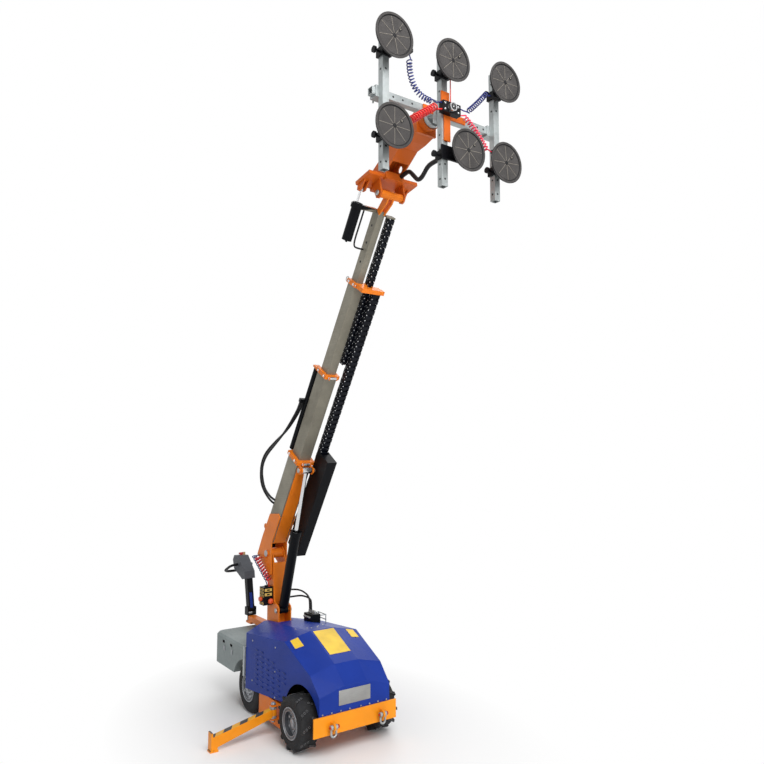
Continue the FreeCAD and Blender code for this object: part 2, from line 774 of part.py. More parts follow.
def collar(u_end, depth, width, rim_t, rim_top, inner_depth, inner_width):
    half = collar_length - 10
    outer = box(u_end - 10, u_end + half, -width / 2 - rim_t, width / 2 + rim_t,
                axis_w - depth / 2 - rim_t, axis_w + depth / 2 + rim_top)
    outer = outer.cut(section(u_end - 11, u_end, depth, width))
    return outer.cut(section(u_end - 1, u_end + half + 1, inner_depth + 2 * slide_gap,
                             inner_width + 2 * slide_gap))


tube_side = tube_width / 2
boom_tube = hollow_tube(tube_start, tube_end, tube_depth, tube_width, tube_wall)
keep("boom_tube", on_boom(boom_tube))

tube_low = axis_w - tube_depth / 2
tube_high = axis_w + tube_depth / 2
cheek_shape = [(-141, 165), (-143, -140), (-110, -163), (120, -14), (420, -14), (430, 30),
               (330, tube_high - 6), (60, 172)]
cheeks = both_sides(plate_y(cheek_shape, tube_side, tube_side + cheek_t))
cheek_holes = rod_y(0, 0, -120, 120, pivot_pin + turn_gap)
base_pieces = cheeks
base_pieces.append(box(tube_start - 10, tube_start, -tube_side, tube_side, tube_low, tube_high))
base_pieces.append(box(tube_start, tube_end - 10, -tube_side + 12, tube_side - 12, tube_low - 6,
                       tube_low))
base_pieces.append(collar(tube_end, tube_depth, tube_width, 16, 8, one_depth, one_width))
ear_shape = [(ram_u - 55, tube_low - 6), (ram_u - 32, ram_w - 20), (ram_u, ram_w - 36),
             (ram_u + 32, ram_w - 20),
             (ram_u + 25, tube_low - 6)]
base_pieces.extend(both_sides(plate_y(ear_shape, tube_side - 24, tube_side - 12)))
base_pieces.append(rod_y(ram_u, ram_w, -tube_side - 4, tube_side + 4, lift_pin))
anchor_u = tube_start + 24
anchor = [(anchor_u - 34, tube_high), (anchor_u + 34, tube_high), (anchor_u + 20, stroke_w + 16),
          (anchor_u, stroke_w + 26), (anchor_u - 20, stroke_w + 16)]
base_pieces.append(plate_y(anchor, stroke_y - stroke_rod - 14, stroke_y - stroke_rod - 2))
base_pieces.append(plate_y(anchor, stroke_y + stroke_rod + 2, stroke_y + stroke_rod + 14))
base_pieces.append(rod_y(anchor_u, stroke_w, stroke_y - stroke_rod - 18, stroke_y + stroke_rod + 18, 10))
base_pieces.append(box(tube_end - 60, tube_end - 10, -tube_side + 12, tube_side - 12, tube_low - 16,
                       tube_low - 6))
boom_base = join(base_pieces).cut(cheek_holes)
keep("boom_base", on_boom(boom_base))

trough = box(trough_start, trough_end, trough_in, trough_out, trough_far, trough_near)
trough = trough.cut(box(trough_start - 1, trough_end - 6, trough_in + 5, trough_out - 5, trough_far + 6,
                        trough_near + 1))
trough = trough.cut(box(trough_end - 7, trough_end + 1, trough_in + 5, trough_out - 5, trough_near - 70,
                        trough_near + 1))
hangers = []
for u in (560.0, 900.0):
    hangers.append(box(u, u + 30, tube_side, tube_side + 6, trough_near, axis_w))
    hangers.append(box(u, u + 30, tube_side, trough_in + 5, trough_near - 40, trough_near))
keep("chain_trough", on_boom(join([trough] + hangers)))

# Extension cylinder on the boom's back: rod on the base, barrel on the first stage
rod_end = stroke_low + 60
stroke_rod_shape = join([rod_x(stroke_y, stroke_w, anchor_u + 12, rod_end, stroke_rod),
                         rod_y(anchor_u, stroke_w, stroke_y - stroke_rod, stroke_y + stroke_rod, 20),
                         rod_x(stroke_y, stroke_w, rod_end - 24, rod_end, stroke_bore - turn_gap)])
stroke_rod_shape = stroke_rod_shape.cut(rod_y(anchor_u, stroke_w, stroke_y - 50, stroke_y + 50,
                                              10 + turn_gap))
keep("extension_rod", on_boom(stroke_rod_shape))
stroke_top = one_end - 10
barrel = rod_x(stroke_y, stroke_w, stroke_low, stroke_top, stroke_radius)
barrel = barrel.cut(rod_x(stroke_y, stroke_w, stroke_low + 16, stroke_top - 14, stroke_bore))
barrel = barrel.cut(rod_x(stroke_y, stroke_w, stroke_low - 1, stroke_low + 17, stroke_rod + turn_gap))
port_u = 1500.0
port_y0 = stroke_y - stroke_radius - 12
ports = [box(port_u, port_u + 34, port_y0 - 36, stroke_y - stroke_radius + 4, stroke_w - 14,
             stroke_w + 14)]
keep("extension_barrel", on_boom(join([barrel] + ports)))

# Telescopic stages with their collars
one_top = axis_w + one_depth / 2
stage_one = join([hollow_tube(one_start, one_end, one_depth, one_width, stage_wall),
                  collar(one_end, one_depth, one_width, 14, 8, two_depth, two_width),
                  box(stroke_top, stroke_top + 16, stroke_y - 28, stroke_y + 28, one_top,
                      stroke_w + 30)])
keep("stage_1", on_boom(stage_one))
collar_low = axis_w - two_depth / 2 - 14
reach_far = -92.0
reach_near = -36.0
chain_far = -62.0
chain_near = 0.0
outer_y0 = trough_in + 13
outer_y1 = trough_out - 8
arm_u0 = two_end - 10
arm_u1 = arm_u0 + collar_length
inner_y0 = two_width / 2 + 14 + 8
inner_y1 = inner_y0 + 50
inner_w0 = chain_near + 3
inner_w1 = inner_w0 + 62
inner_top = 3255.0
stage_two = join([hollow_tube(two_start, two_end, two_depth, two_width, stage_wall),
                  collar(two_end, two_depth, two_width, 14, 8, three_depth, three_width),
                  box(arm_u0, arm_u1, -40, 40, reach_near, collar_low),
                  box(arm_u0, arm_u1, -40, trough_out, reach_far, reach_near),
                  box(arm_u0, arm_u1, outer_y0, outer_y1, reach_near, chain_near),
                  box(arm_u0, arm_u1, two_width / 2 + 14, inner_y0, inner_w0 + 6, inner_w1)])
keep("stage_2", on_boom(stage_two))
three_low = axis_w - three_depth / 2
three_side = three_width / 2
bracket_u0 = three_end - 22
bracket_u1 = bracket_u0 + 34
tip = [(three_end - 22, three_low), (three_end, three_low), (three_end, axis_w),
       (tilt_u + 8, tilt_w + 28),
       (tilt_u, tilt_w - 28), (tilt_u - 60, tilt_w - 20)]
stage_three_pieces = [hollow_tube(three_start, three_end, three_depth, three_width, stage_wall),
                      box(three_end, three_end + 8, -three_side, three_side, three_low,
                          axis_w + three_depth / 2)]
stage_three_pieces.extend(both_sides(plate_y(tip, three_side - 12, three_side)))
stage_three_pieces.append(rod_y(tilt_u, tilt_w, -boss_half, boss_half, 30))
stage_three_pieces.append(rod_y(tilt_u, tilt_w, -ear_in - ear_t - 6, ear_in + ear_t + 6, tilt_pin))
stage_three_pieces.append(box(inner_top, inner_top + 12, three_side, inner_y1, inner_w0, inner_w1))
stage_three_pieces.append(box(bracket_u0, bracket_u1, tilt_y + tilt_out - 6, -three_side, axis_w,
                              axis_w + 40))
mid_w = tilt_w + lever_radius * (1 + math.cos(math.radians(lever_lean + tilt_up))) / 2
strap = rod_x(tilt_y, mid_w, bracket_u0, bracket_u1, tilt_out + 9)
stage_three = join(stage_three_pieces + [strap])
stage_three = stage_three.cut(rod_x(tilt_y, mid_w, bracket_u0 - 1, bracket_u1 + 1, tilt_out))
keep("stage_3", on_boom(stage_three))


# Energy chains as rows of links on a core
def chain(u0, u1, y0, y1, w0, w1):
    count = int(round((u1 - u0) / link_pitch))
    pitch = (u1 - u0) / count
    links = [box(u0, u1, y0 + 6, y1 - 6, w0 + 6, w1 - 6)]
    for number in range(count):
        start = u0 + number * pitch
        gap = 3.0 if 0 < number else 0.0
        links.append(box(start + gap, start + pitch - (3.0 if number < count - 1 else 0.0), y0, y1, w0,
                         w1))
    return join(links)


keep("chain_outer", on_boom(chain(trough_start + 180, arm_u0, outer_y0, outer_y1, chain_far,
                                  chain_near)))
keep("chain_inner", on_boom(chain(1975.0, inner_top, inner_y0, inner_y1, inner_w0, inner_w1)))

# Lift cylinder: barrel on the tower pin, rod on the boom pin
ram_point = boom_point(ram_u, 0, ram_w)
barrel_point = V(barrel_x, 0, barrel_z)
ram_way = ram_point - barrel_point
ram_length = ram_way.Length
ram_turn = math.degrees(math.atan2(ram_way.z, ram_way.x))
ram_place = Placement(barrel_point, Rotation(V(0, 1, 0), -ram_turn))
lift_barrel = join([rod_x(0, 0, 46, gland, barrel_out), rod_y(0, 0, -40, 40, 32), rod_x(0, 0, 0, 60, 28),
                    rod_x(0, 0, gland - 40, gland, barrel_out + 7)])
lift_barrel = lift_barrel.cut(rod_x(0, 0, 70, gland + 1, barrel_in))
lift_barrel = lift_barrel.cut(rod_y(0, 0, -60, 60, lift_pin + turn_gap))
keep("lift_barrel", placed(lift_barrel, ram_place))
lift_rod = join([rod_x(0, 0, ram_length - lift_rod_length, ram_length - 10, lift_rod_radius),
                 rod_y(ram_length, 0, -44, 44, 28)])
lift_rod = lift_rod.cut(rod_y(ram_length, 0, -60, 60, lift_pin + turn_gap))
keep("lift_rod", placed(lift_rod, ram_place))
print("lift cylinder pin to pin %.1f, angle %.2f" % (ram_length, ram_turn))

# Tilt cylinder beside the third stage, rod to the head's lever
lever_u = tilt_u - lever_radius * math.sin(math.radians(lever_lean))
lever_w = tilt_w + lever_radius * math.cos(math.radians(lever_lean))
tilt_low = 3000.0
tilt_gland = 3300.0
tilt_barrel = rod_x(tilt_y, mid_w, tilt_low, tilt_gland, tilt_out)
tilt_barrel = tilt_barrel.cut(rod_x(tilt_y, mid_w, tilt_low + 15, tilt_gland + 1, tilt_in))
tilt_barrel = join([tilt_barrel, rod_x(tilt_y, mid_w, tilt_low - 14, tilt_low, 9)])
keep("tilt_cylinder", on_boom(tilt_barrel))
tilt_rod = join([rod_x(tilt_y, lever_w, lever_u - 310, lever_u - 8, tilt_rod_radius),
                 rod_y(lever_u, lever_w, tilt_y - 11, tilt_y + 11, 21)])
tilt_rod = tilt_rod.cut(rod_y(lever_u, lever_w, tilt_y - 30, tilt_y + 30, 10 + turn_gap))
keep("tilt_rod", on_boom(tilt_rod))
tilt_point = boom_point(tilt_u, 0, tilt_w)
lever_point = boom_point(lever_u, 0, lever_w)
print("tilt pivot %.2f %.2f, lever pin %.2f %.2f" % (tilt_point.x, tilt_point.z, lever_point.x,
                                                     lever_point.z))

# Conduit from the tilt cylinder's strap down beside the barrel and into the third stage
strap_y = tilt_y + tilt_out + 24
strap_w = axis_w + 20
route = [V(bracket_u0, strap_y, strap_w), V(2955, strap_y, strap_w), V(2955, -three_side, strap_w)]
keep("head_hose", on_boom(hose(route, 7.0)))

# Boom hoses from the base to the extension cylinder's port block
boom_hoses = []
for number in (0, 1):
    shift = 24.0 * number
    route = [V(445 + 1.5 * shift, -63, tube_high), V(444 + 1.4 * shift, -63, tube_high + 70),
             V(438 + shift, -65, 350),
             V(470 + shift, -74, 470 - shift), V(590, -88 - 0.5 * shift, 545 - shift),
             V(745, -96 - 0.5 * shift, 530 - shift),
             V(960, -102 - 0.5 * shift, 405 - 0.7 * shift),
             V(1158, -100 - 0.7 * shift, 285 - 0.3 * shift),
             V(1330, -88 - 0.9 * shift, 224), V(port_u - 60, port_y0 - shift, stroke_w),
             V(port_u, port_y0 - shift, stroke_w)]
    boom_hoses.append(hose(squared(through(route, 14), V(0, 0, 1), V(1, 0, 0)), 8.0))
keep("boom_hoses", on_boom(Part.makeCompound(boom_hoses)))

# Tilt head: ears on the tilt pin, lever lugs and the side-shift rail
rail_place = Placement(V(rail_x, 0, rail_z), Rotation(V(0, 1, 0), -rail_tilt))
rail = placed(box(-rail_long, rail_long, -rail_half, rail_half, -rail_t, rail_t), rail_place)
tx = tilt_point.x
tz = tilt_point.z
rail_under = rail_place.multVec(V(-0.45 * rail_long, 0, -rail_t + 2))
rail_ahead = rail_place.multVec(V(0.62 * rail_long, 0, -rail_t + 2))
ear_plate = [(tx - 40, tz), (tx - 26, tz - 32), (tx, tz - 42), (tx + 26, tz - 32), (tx + 40, tz),
             (rail_ahead.x, rail_ahead.z), (rail_under.x, rail_under.z)]
head_pieces = [rail]
head_pieces.extend(both_sides(plate_y(ear_plate, ear_in, ear_in + ear_t)))
kx = lever_point.x
kz = lever_point.z
lug_ahead = rail_place.multVec(V(0.2 * rail_long, 0, -rail_t + 2))
lug_behind = rail_place.multVec(V(-0.95 * rail_long, 0, -rail_t + 2))
lug_plate = [(kx - 22, kz - 8), (kx, kz - 24), (kx + 30, kz - 22), (lug_ahead.x, lug_ahead.z),
             (lug_behind.x, lug_behind.z), (kx - 14, kz + 18)]
for y in (tilt_y - 24, tilt_y + 13):
    head_pieces.append(plate_y(lug_plate, y, y + 11))
head_pieces.append(rod_y(kx, kz, tilt_y - 30, tilt_y + 30, 10))
head_pieces.append(plate_y(lug_plate, 190, 201))
head = join(head_pieces)
for side in (1, -1):
    head = head.cut(rod_y(tx, tz, side * (ear_in - 5), side * (ear_in + ear_t + 5), tilt_pin + turn_gap))
keep("tilt_head", head)

# Carriage: jaws round the rail, two column plates and a neck to the slewing flange
jaw = rail_t + wear_gap
saddle = [box(-rail_long - 15, rail_long + 15, -carriage_half, carriage_half, jaw, jaw + 20)]
for side in (1, -1):
    edge = side * (rail_long + wear_gap)
    far = side * (rail_long + 15)
    hook = side * (rail_long - 22)
    saddle.append(box(min(edge, far), max(edge, far), -carriage_half, carriage_half, -jaw - 14, jaw))
    saddle.append(box(min(hook, far), max(hook, far), -carriage_half, carriage_half, -jaw - 14, -jaw))
saddle = placed(join(saddle), rail_place)
foot_back = rail_place.multVec(V(-rail_long, 0, jaw + 18))
foot_front = rail_place.multVec(V(rail_long + 10, 0, jaw + 18))
neck_low = slew_z - 94
neck_high = slew_z + 67
shoulder = [(rail_x + 178, rail_z + 104), (rail_x + 277, rail_z + 176), (rail_x + 372, rail_z + 188),
            (neck_x, neck_low)]
spine = [(neck_x, neck_high), (rail_x + 180, rail_z + 267), (rail_x + 30, rail_z + 167),
         (rail_x - 82, rail_z + 102)]
column_plate = [(foot_back.x, foot_back.z), (foot_front.x, foot_front.z)] + shoulder + spine
column_pieces = both_sides(plate_y(column_plate, carriage_half - 14, carriage_half - 2))
column_pieces.append(box(neck_x, neck_x + 20, -88, 88, slew_z - 100, slew_z + 95))
inner_half = carriage_half - 14
for line, lift in ((shoulder, 10), (spine, -10)):
    for (x0, z0), (x1, z1) in zip(line, line[1:]):
        column_pieces.append(plate_y([(x0, z0), (x1, z1), (x1, z1 + lift), (x0, z0 + lift)],
                                     -inner_half, inner_half))
column_pieces.append(rod_x(0, slew_z, neck_x + 20, slew_x, 80))
carriage = join([saddle] + column_pieces)
carriage = carriage.cut(rod_y(rail_x + 75, rail_z + 104, -200, 200, 28))
keep("carriage", carriage)

# Yoke hub with the cross bar, and the centre upright
bar_half = post_half
post_back = post_x - post_half
post_front = post_x + post_half
hub = join([rod_x(0, slew_z, slew_x + wear_gap, bar_x - bar_half, 72),
            box(bar_x - bar_half, bar_x + bar_half, bar_left, bar_right, slew_z - bar_half,
                slew_z + bar_half)])
hub = hub.cut(box(bar_x - bar_half + 4, bar_x + bar_half - 4, bar_left - 1, bar_right + 1,
                  slew_z - bar_half + 4, slew_z + bar_half - 4))
keep("yoke_hub", hub)


def post(y):
    shape = box(post_back, post_front, y - post_half, y + post_half, post_low, post_high)
    return shape.cut(box(post_back + 4, post_front - 4, y - post_half + 4, y + post_half - 4,
                         post_low - 1, post_high + 1))


def cross_clamp(y, gap):
    outer = box(bar_x - bar_half - 12, post_back, y - 45, y + 45, slew_z - bar_half - 14,
                slew_z + bar_half + 14)
    outer = outer.cut(box(bar_x - bar_half - gap, bar_x + bar_half + gap, y - 50, y + 50,
                          slew_z - bar_half - gap, slew_z + bar_half + gap))
    bolt = rod_x(y, slew_z + 0.1, bar_x - bar_half - 42, bar_x - bar_half - 12, 8)
    handle = rod(V(bar_x - bar_half - 42, y, slew_z - 34), V(bar_x - bar_half - 42, y, slew_z + 34), 6)
    return [outer, bolt, handle]


def side_socket(y):
    return [box(bar_x - bar_half, post_back, y - 60, y + 60, slew_z + bar_half, slew_z + bar_half + 10),
            box(bar_x - bar_half, post_back, y - 60, y + 60, slew_z - bar_half - 10, slew_z - bar_half),
            box(post_back - 6, post_back, y - 60, y + 60, slew_z - bar_half - 60,
                slew_z - bar_half - 10),
            box(post_back - 6, post_back, y - 60, y + 60, slew_z + bar_half + 10,
                slew_z + bar_half + 60)]


keep("arm_left", join([post(-post_y)] + cross_clamp(-post_y, wear_gap)))
keep("arm_right", join([post(post_y)] + cross_clamp(post_y, wear_gap)))
keep("arm_mid", join([post(0)] + side_socket(0)))


# Conduit from the saddle to the centre upright's lower clamp
conduit_start = rail_place.multVec(V(rail_long + 15, carriage_half - 25, jaw + 2))
conduit_end = V(post_back - 12, 0, clamp_lower - 10)
rail_way = rail_place.Rotation.multVec(V(1, 0, 0))
route = [conduit_start, conduit_start + rail_way * 112, V(rail_x + 340, 38, rail_z - 93),
         conduit_end - V(112, 0, 0), conduit_end]
keep("slew_conduit", hose(route, 17.0))


# Pad holders: clamp block on the upright, bracket plate, stem and star knob
def holder(y, clamp_z, pad_y, pad_z):
    low = min(clamp_z, pad_z) - 32
    high = max(clamp_z, pad_z) + 32
    pieces = [box(post_front, post_front + 14, min(y, pad_y) - 38, max(y, pad_y) + 38, low, high),
              box(post_back - 12, post_front, y - post_half - 12, y - post_half, clamp_z - 30,
                  clamp_z + 30),
              box(post_back - 12, post_front, y + post_half, y + post_half + 12, clamp_z - 30,
                  clamp_z + 30),
              box(post_back - 12, post_back, y - post_half, y + post_half, clamp_z - 30, clamp_z + 30),
              rod_y(post_x, clamp_z, y - post_half - 44, y - post_half - 12, 8),
              rod_y(post_x, clamp_z, y - post_half - 60, y - post_half - 44, 22),
              rod_x(pad_y, pad_z, post_front + 14, pad_face - 35, 13)]
    return join(pieces)


# Vacuum pad: backing disc and rubber cup with a raised lip
def pad(y, z):
    back = pad_face - 35
    profile = [(back, 0), (back, 118), (back + 8, 118), (back + 12, 138), (pad_face - 8, pad_radius - 2),
               (pad_face, pad_radius), (pad_face, pad_radius - 16), (pad_face - 7, pad_radius - 22),
               (pad_face - 7, 0)]
    return moved(spin_x(profile), 0, y, z)


# Air port on a pad's back, a short arm towards the yoke's middle
def pad_port(y0, y1, z):
    return box(hose_x - 10, pad_face - 35, min(y0, y1), max(y0, y1), z - 12, z + 12)


port_upper = pad_upper - 28
port_lower = pad_lower + 26
port_reach = 175.0
right_upper = pad_upper - 108
right_lower = pad_lower + 78
right_reach = 96.0
left_upper = join([pad(-post_y, pad_upper), pad_port(-post_y + 88, -post_y + port_reach, port_upper)])
left_lower = join([pad(-post_y, pad_lower), pad_port(-post_y + 88, -post_y + port_reach, port_lower)])
keep("pads_left", Part.makeCompound([left_upper, left_lower]))
top_right = join([pad(post_y, pad_upper), pad_port(post_y - 30, post_y - right_reach, right_upper)])
low_right = join([pad(post_y, pad_lower), pad_port(post_y - 60, post_y - right_reach, right_lower)])
keep("pads_right", Part.makeCompound([top_right, low_right]))
keep("pads_mid", Part.makeCompound([pad(0, pad_upper), pad(offset_pad_y, pad_lower)]))
for name, y in (("left", -post_y), ("right", post_y)):
    keep("holders_" + name, Part.makeCompound([holder(y, clamp_upper, y, pad_upper),
                                               holder(y, clamp_lower, y, pad_lower)]))
keep("holders_mid", Part.makeCompound([holder(0, clamp_upper, 0, pad_upper),
                                       holder(0, clamp_lower, offset_pad_y, pad_lower)]))

# Vacuum manifold with a round gauge, on the centre upright
manifold_half = 39.0
manifold_low = slew_z - manifold_half
manifold_high = slew_z + manifold_half
manifold_left = -58.0
manifold_right = 100.0
cross_t = 10.0
cross_front = post_front + cross_t
bar_front = bar_x + bar_half
cross_top = slew_z + 0.41 * pad_rise
cross_foot = slew_z - 0.77 * pad_drop
cross = join([box(post_front, cross_front, -36, 36, slew_z - 5, cross_top),
              box(post_front, cross_front, -12, 44, cross_foot, slew_z + 7)])
side_arms = [box(bar_front, bar_front + cross_t, -150, -62, slew_z - 24, slew_z + 24),
             box(bar_front, bar_front + cross_t, 62, 235, slew_z - 24, slew_z + 24)]
manifold = join([cross, box(cross_front, hose_x + 16, manifold_left, manifold_right, manifold_low,
                            manifold_high),
                 rod_x(16, slew_z, hose_x + 16, hose_x + 40, 30),
                 rod_z(hose_x, 20, manifold_high, clamp_upper - 32, 4)])
manifold = Part.makeCompound([manifold] + side_arms)
keep("vacuum_manifold", manifold)

# Coiled air hoses between the pads and the manifold
forward = V(1, 0, 0)
to_left = V(0, -1, 0)
to_right = V(0, 1, 0)
downward = V(0, 0, -1)
drop_y = -post_y + port_reach - 13
high_port = manifold_high - 15
low_port = manifold_low + 15
upper = coil(V(hose_x, drop_y, port_upper - 12), downward, V(hose_x, manifold_left, high_port), to_right,
             V(hose_x, drop_y, high_port - 30), 13, 1, forward)
lower = coil(V(hose_x, manifold_left, low_port), to_left, V(hose_x, drop_y, port_lower + 12), downward,
             None, 8, 1, forward)
keep("coil_hoses_left", Part.makeCompound([upper, lower]))
upper = coil(V(hose_x, post_y - right_reach, right_upper), to_left,
             V(hose_x, manifold_right, high_port), to_left,
             None, 9, 1, forward)
lower = coil(V(hose_x, manifold_right, low_port), to_right,
             V(hose_x, post_y - right_reach, right_lower), to_right,
             None, 9, 1, forward)
keep("coil_hoses_right", Part.makeCompound([upper, lower]))

# Coiled pair between the control box and the boom cheek
cheek_face = -tube_side - cheek_t
tower_coils = []
for number, (u, w) in enumerate(((-95, 60), (-120, 120))):
    top = boom_point(u, cheek_face, w)
    foot = V(-1055 - 42 * number, -tower_half - 30, 1010)
    tower_coils.append(coil(foot, V(0, 0, 1), top, V(0, 1, 0), None, 5, 1, V(0.5, 0, 0.87).normalize()))
keep("tower_coils", Part.makeCompound(tower_coils))
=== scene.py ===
import math

import bmesh
import bpy
from mathutils import Matrix, Vector


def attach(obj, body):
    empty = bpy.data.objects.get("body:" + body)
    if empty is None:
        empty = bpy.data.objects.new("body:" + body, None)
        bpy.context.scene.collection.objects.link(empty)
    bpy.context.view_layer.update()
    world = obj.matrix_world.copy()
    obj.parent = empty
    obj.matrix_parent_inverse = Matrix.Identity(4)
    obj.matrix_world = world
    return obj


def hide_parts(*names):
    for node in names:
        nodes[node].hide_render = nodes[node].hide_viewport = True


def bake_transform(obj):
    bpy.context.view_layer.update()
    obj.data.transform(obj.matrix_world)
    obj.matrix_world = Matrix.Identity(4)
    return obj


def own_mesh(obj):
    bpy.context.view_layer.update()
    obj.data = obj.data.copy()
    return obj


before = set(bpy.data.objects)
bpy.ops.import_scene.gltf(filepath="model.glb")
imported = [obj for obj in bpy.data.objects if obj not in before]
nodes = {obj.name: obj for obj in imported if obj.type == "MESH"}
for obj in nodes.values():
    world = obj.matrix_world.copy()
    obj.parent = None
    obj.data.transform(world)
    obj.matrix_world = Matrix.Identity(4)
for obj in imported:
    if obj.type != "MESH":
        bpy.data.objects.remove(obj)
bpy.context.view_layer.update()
scene = bpy.context.scene
scene.view_settings.view_transform = "Standard"

# Boom frame: u along the boom from the main pivot, y across, w square to it
lean = math.radians(57.5)
along = Vector((math.cos(lean), 0, math.sin(lean)))
square = Vector((-math.sin(lean), 0, math.cos(lean)))
pivot = Vector((-1.130, 0, 1.300))
BOOM = Matrix.Translation(pivot) @ Matrix.Rotation(-lean, 4, "Y")
tiller_lean = math.radians(11.768)
HEAD = Matrix.Translation((-1.712, 0, 0.975)) @ Matrix.Rotation(-tiller_lean, 4, "Y")


def boom(u, y, w):
    return BOOM @ Vector((u, y, w))


# Camera at the photograph's place
camera_data = bpy.data.cameras.new("camera")
camera_data.sensor_fit = "HORIZONTAL"
camera_data.sensor_width = 36.0
camera_data.lens = 32.63
camera_data.clip_end = 200.0
camera = bpy.data.objects.new("camera", camera_data)
camera.location = (4.8446, -3.0150, 2.2742)
camera.rotation_euler = (math.radians(90 + 5.46), 0, math.radians(144.63 - 90))
scene.collection.objects.link(camera)
scene.camera = camera


# Materials
class Nodes:
    def __init__(self, name):
        self.material = bpy.data.materials.new(name)
        self.material.use_nodes = True
        self.tree = self.material.node_tree
        self.shader = self.tree.nodes["Principled BSDF"]
        self.place = self.tree.nodes.new("ShaderNodeTexCoord").outputs["Object"]

    def link(self, out, into):
        self.tree.links.new(out, into)

    def node(self, kind, **values):
        made = self.tree.nodes.new("ShaderNode" + kind)
        for key, value in values.items():
            setattr(made, key, value)
        return made

    def mapped(self, turn=(0, 0, 0), scale=(1, 1, 1), shift=(0, 0, 0)):
        made = self.node("Mapping")
        made.inputs["Rotation"].default_value = turn
        made.inputs["Scale"].default_value = scale
        made.inputs["Location"].default_value = shift
        self.link(self.place, made.inputs["Vector"])
        return made.outputs["Vector"]

    def noise(self, scale, detail=3.0, vector=None, rough=0.5):
        made = self.node("TexNoise")
        made.inputs["Scale"].default_value = scale
        made.inputs["Detail"].default_value = detail
        made.inputs["Roughness"].default_value = rough
        self.link(vector or self.place, made.inputs["Vector"])
        return made.outputs["Fac"]

    def cells(self, scale):
        made = self.node("TexVoronoi")
        made.inputs["Scale"].default_value = scale
        self.link(self.place, made.inputs["Vector"])
        return made.outputs["Color"]

    def spread(self, value, low, high, to_low=0.0, to_high=1.0):
        made = self.node("MapRange")
        made.inputs["From Min"].default_value = low
        made.inputs["From Max"].default_value = high
        made.inputs["To Min"].default_value = to_low
        made.inputs["To Max"].default_value = to_high
        self.link(value, made.inputs["Value"])
        return made.outputs["Result"]

    def math(self, kind, a, b):
        made = self.node("Math", operation=kind)
        for socket, value in zip(made.inputs, (a, b)):
            if isinstance(value, (int, float)):
                socket.default_value = value
            else:
                self.link(value, socket)
        return made.outputs["Value"]

    def mix(self, share, a, b):
        made = self.node("Mix", data_type="RGBA")
        for socket, value in zip((made.inputs["Factor"], made.inputs[6], made.inputs[7]), (share, a, b)):
            if isinstance(value, (tuple, list)):
                socket.default_value = (*value[:3], 1)
            elif isinstance(value, (int, float)):
                socket.default_value = value
            else:
                self.link(value, socket)
        return made.outputs[2]

    def edges(self, radius):
        # Rounded edge normal, and how near a point is to a sharp edge
        bevel = self.node("Bevel", samples=4)
        bevel.inputs["Radius"].default_value = radius
        normal = self.node("NewGeometry").outputs["Normal"]
        dot = self.node("VectorMath", operation="DOT_PRODUCT")
        self.link(bevel.outputs["Normal"], dot.inputs[0])
        self.link(normal, dot.inputs[1])
        return bevel.outputs["Normal"], self.spread(dot.outputs["Value"], 0.995, 0.88)

    def bump(self, height, strength, distance, normal=None):
        made = self.node("Bump")
        made.inputs["Strength"].default_value = strength
        made.inputs["Distance"].default_value = distance
        self.link(height, made.inputs["Height"])
        if normal is not None:
            self.link(normal, made.inputs["Normal"])
        return made.outputs["Normal"]

    def done(self, colour, rough, normal=None, metal=0.0, coat=0.0, specular=0.5):
        for value, key in ((colour, "Base Color"), (rough, "Roughness"), (normal, "Normal")):
            if isinstance(value, (tuple, list)):
                self.shader.inputs[key].default_value = (*value[:3], 1)
            elif isinstance(value, (int, float)):
                self.shader.inputs[key].default_value = value
            elif value is not None:
                self.link(value, self.shader.inputs[key])
        self.shader.inputs["Metallic"].default_value = metal
        self.shader.inputs["Coat Weight"].default_value = coat
        self.shader.inputs["Coat Roughness"].default_value = 0.15
        self.shader.inputs["Specular IOR Level"].default_value = specular
        return self.material


def shade(colour, share):
    return tuple(min(1.0, c * share) for c in colour)


def paint(name, colour, rough=0.36, edge=0.0025, wear=0.35, worn=None, coat=0.15, grime=0.5, specular=0.4):
    n = Nodes(name)
    patch = n.spread(n.noise(3.5, 4), 0.35, 0.7)
    fine = n.noise(45, 5, rough=0.65)
    tone = n.mix(patch, shade(colour, 0.88), shade(colour, 1.06))
    specks = n.spread(fine, 0.62, 0.75)
    tone = n.mix(n.math("MULTIPLY", specks, 0.35 * grime), tone, shade(colour, 0.45))
    normal, rim = n.edges(edge)
    chips = n.math("MULTIPLY", rim, n.spread(n.noise(30, 4), 0.42, 0.62, 0.15, wear + 0.15))
    tone = n.mix(chips, tone, worn or shade(colour, 1.45))
    peel = n.bump(n.noise(650, 2), 0.06, 0.0006, normal)
    return n.done(tone, n.spread(fine, 0.3, 0.75, rough - 0.07, rough + 0.14), peel, 0.0, coat, specular)


def metal(name, colour, rough=0.38, turn=(0, 0, 0), stretch=(1, 1, 1), spangle=0.0, edge=0.002, metallic=0.8,
          streak=0.5):
    n = Nodes(name)
    lines = n.noise(60, 3, n.mapped(turn, stretch), 0.6)
    cloud = n.spread(n.noise(5, 4), 0.3, 0.7)
    tone = n.mix(cloud, shade(colour, 0.82), shade(colour, 1.12))
    tone = n.mix(n.math("MULTIPLY", n.spread(lines, 0.4, 0.66), streak), tone, shade(colour, 0.68))
    if spangle:
        flake = n.cells(38)
        tone = n.mix(n.math("MULTIPLY", n.spread(flake, 0.2, 0.9), spangle), tone, shade(colour, 1.35))
    normal, rim = n.edges(edge)
    # Edges painted lighter: a painted highlight along them
    tone = n.mix(n.math("MULTIPLY", rim, 0.45), tone, shade(colour, 1.5))
    grain = n.bump(lines, 0.08, 0.0005, normal)
    return n.done(tone, n.spread(cloud, 0, 1, rough + 0.1, rough - 0.06), grain, metallic)


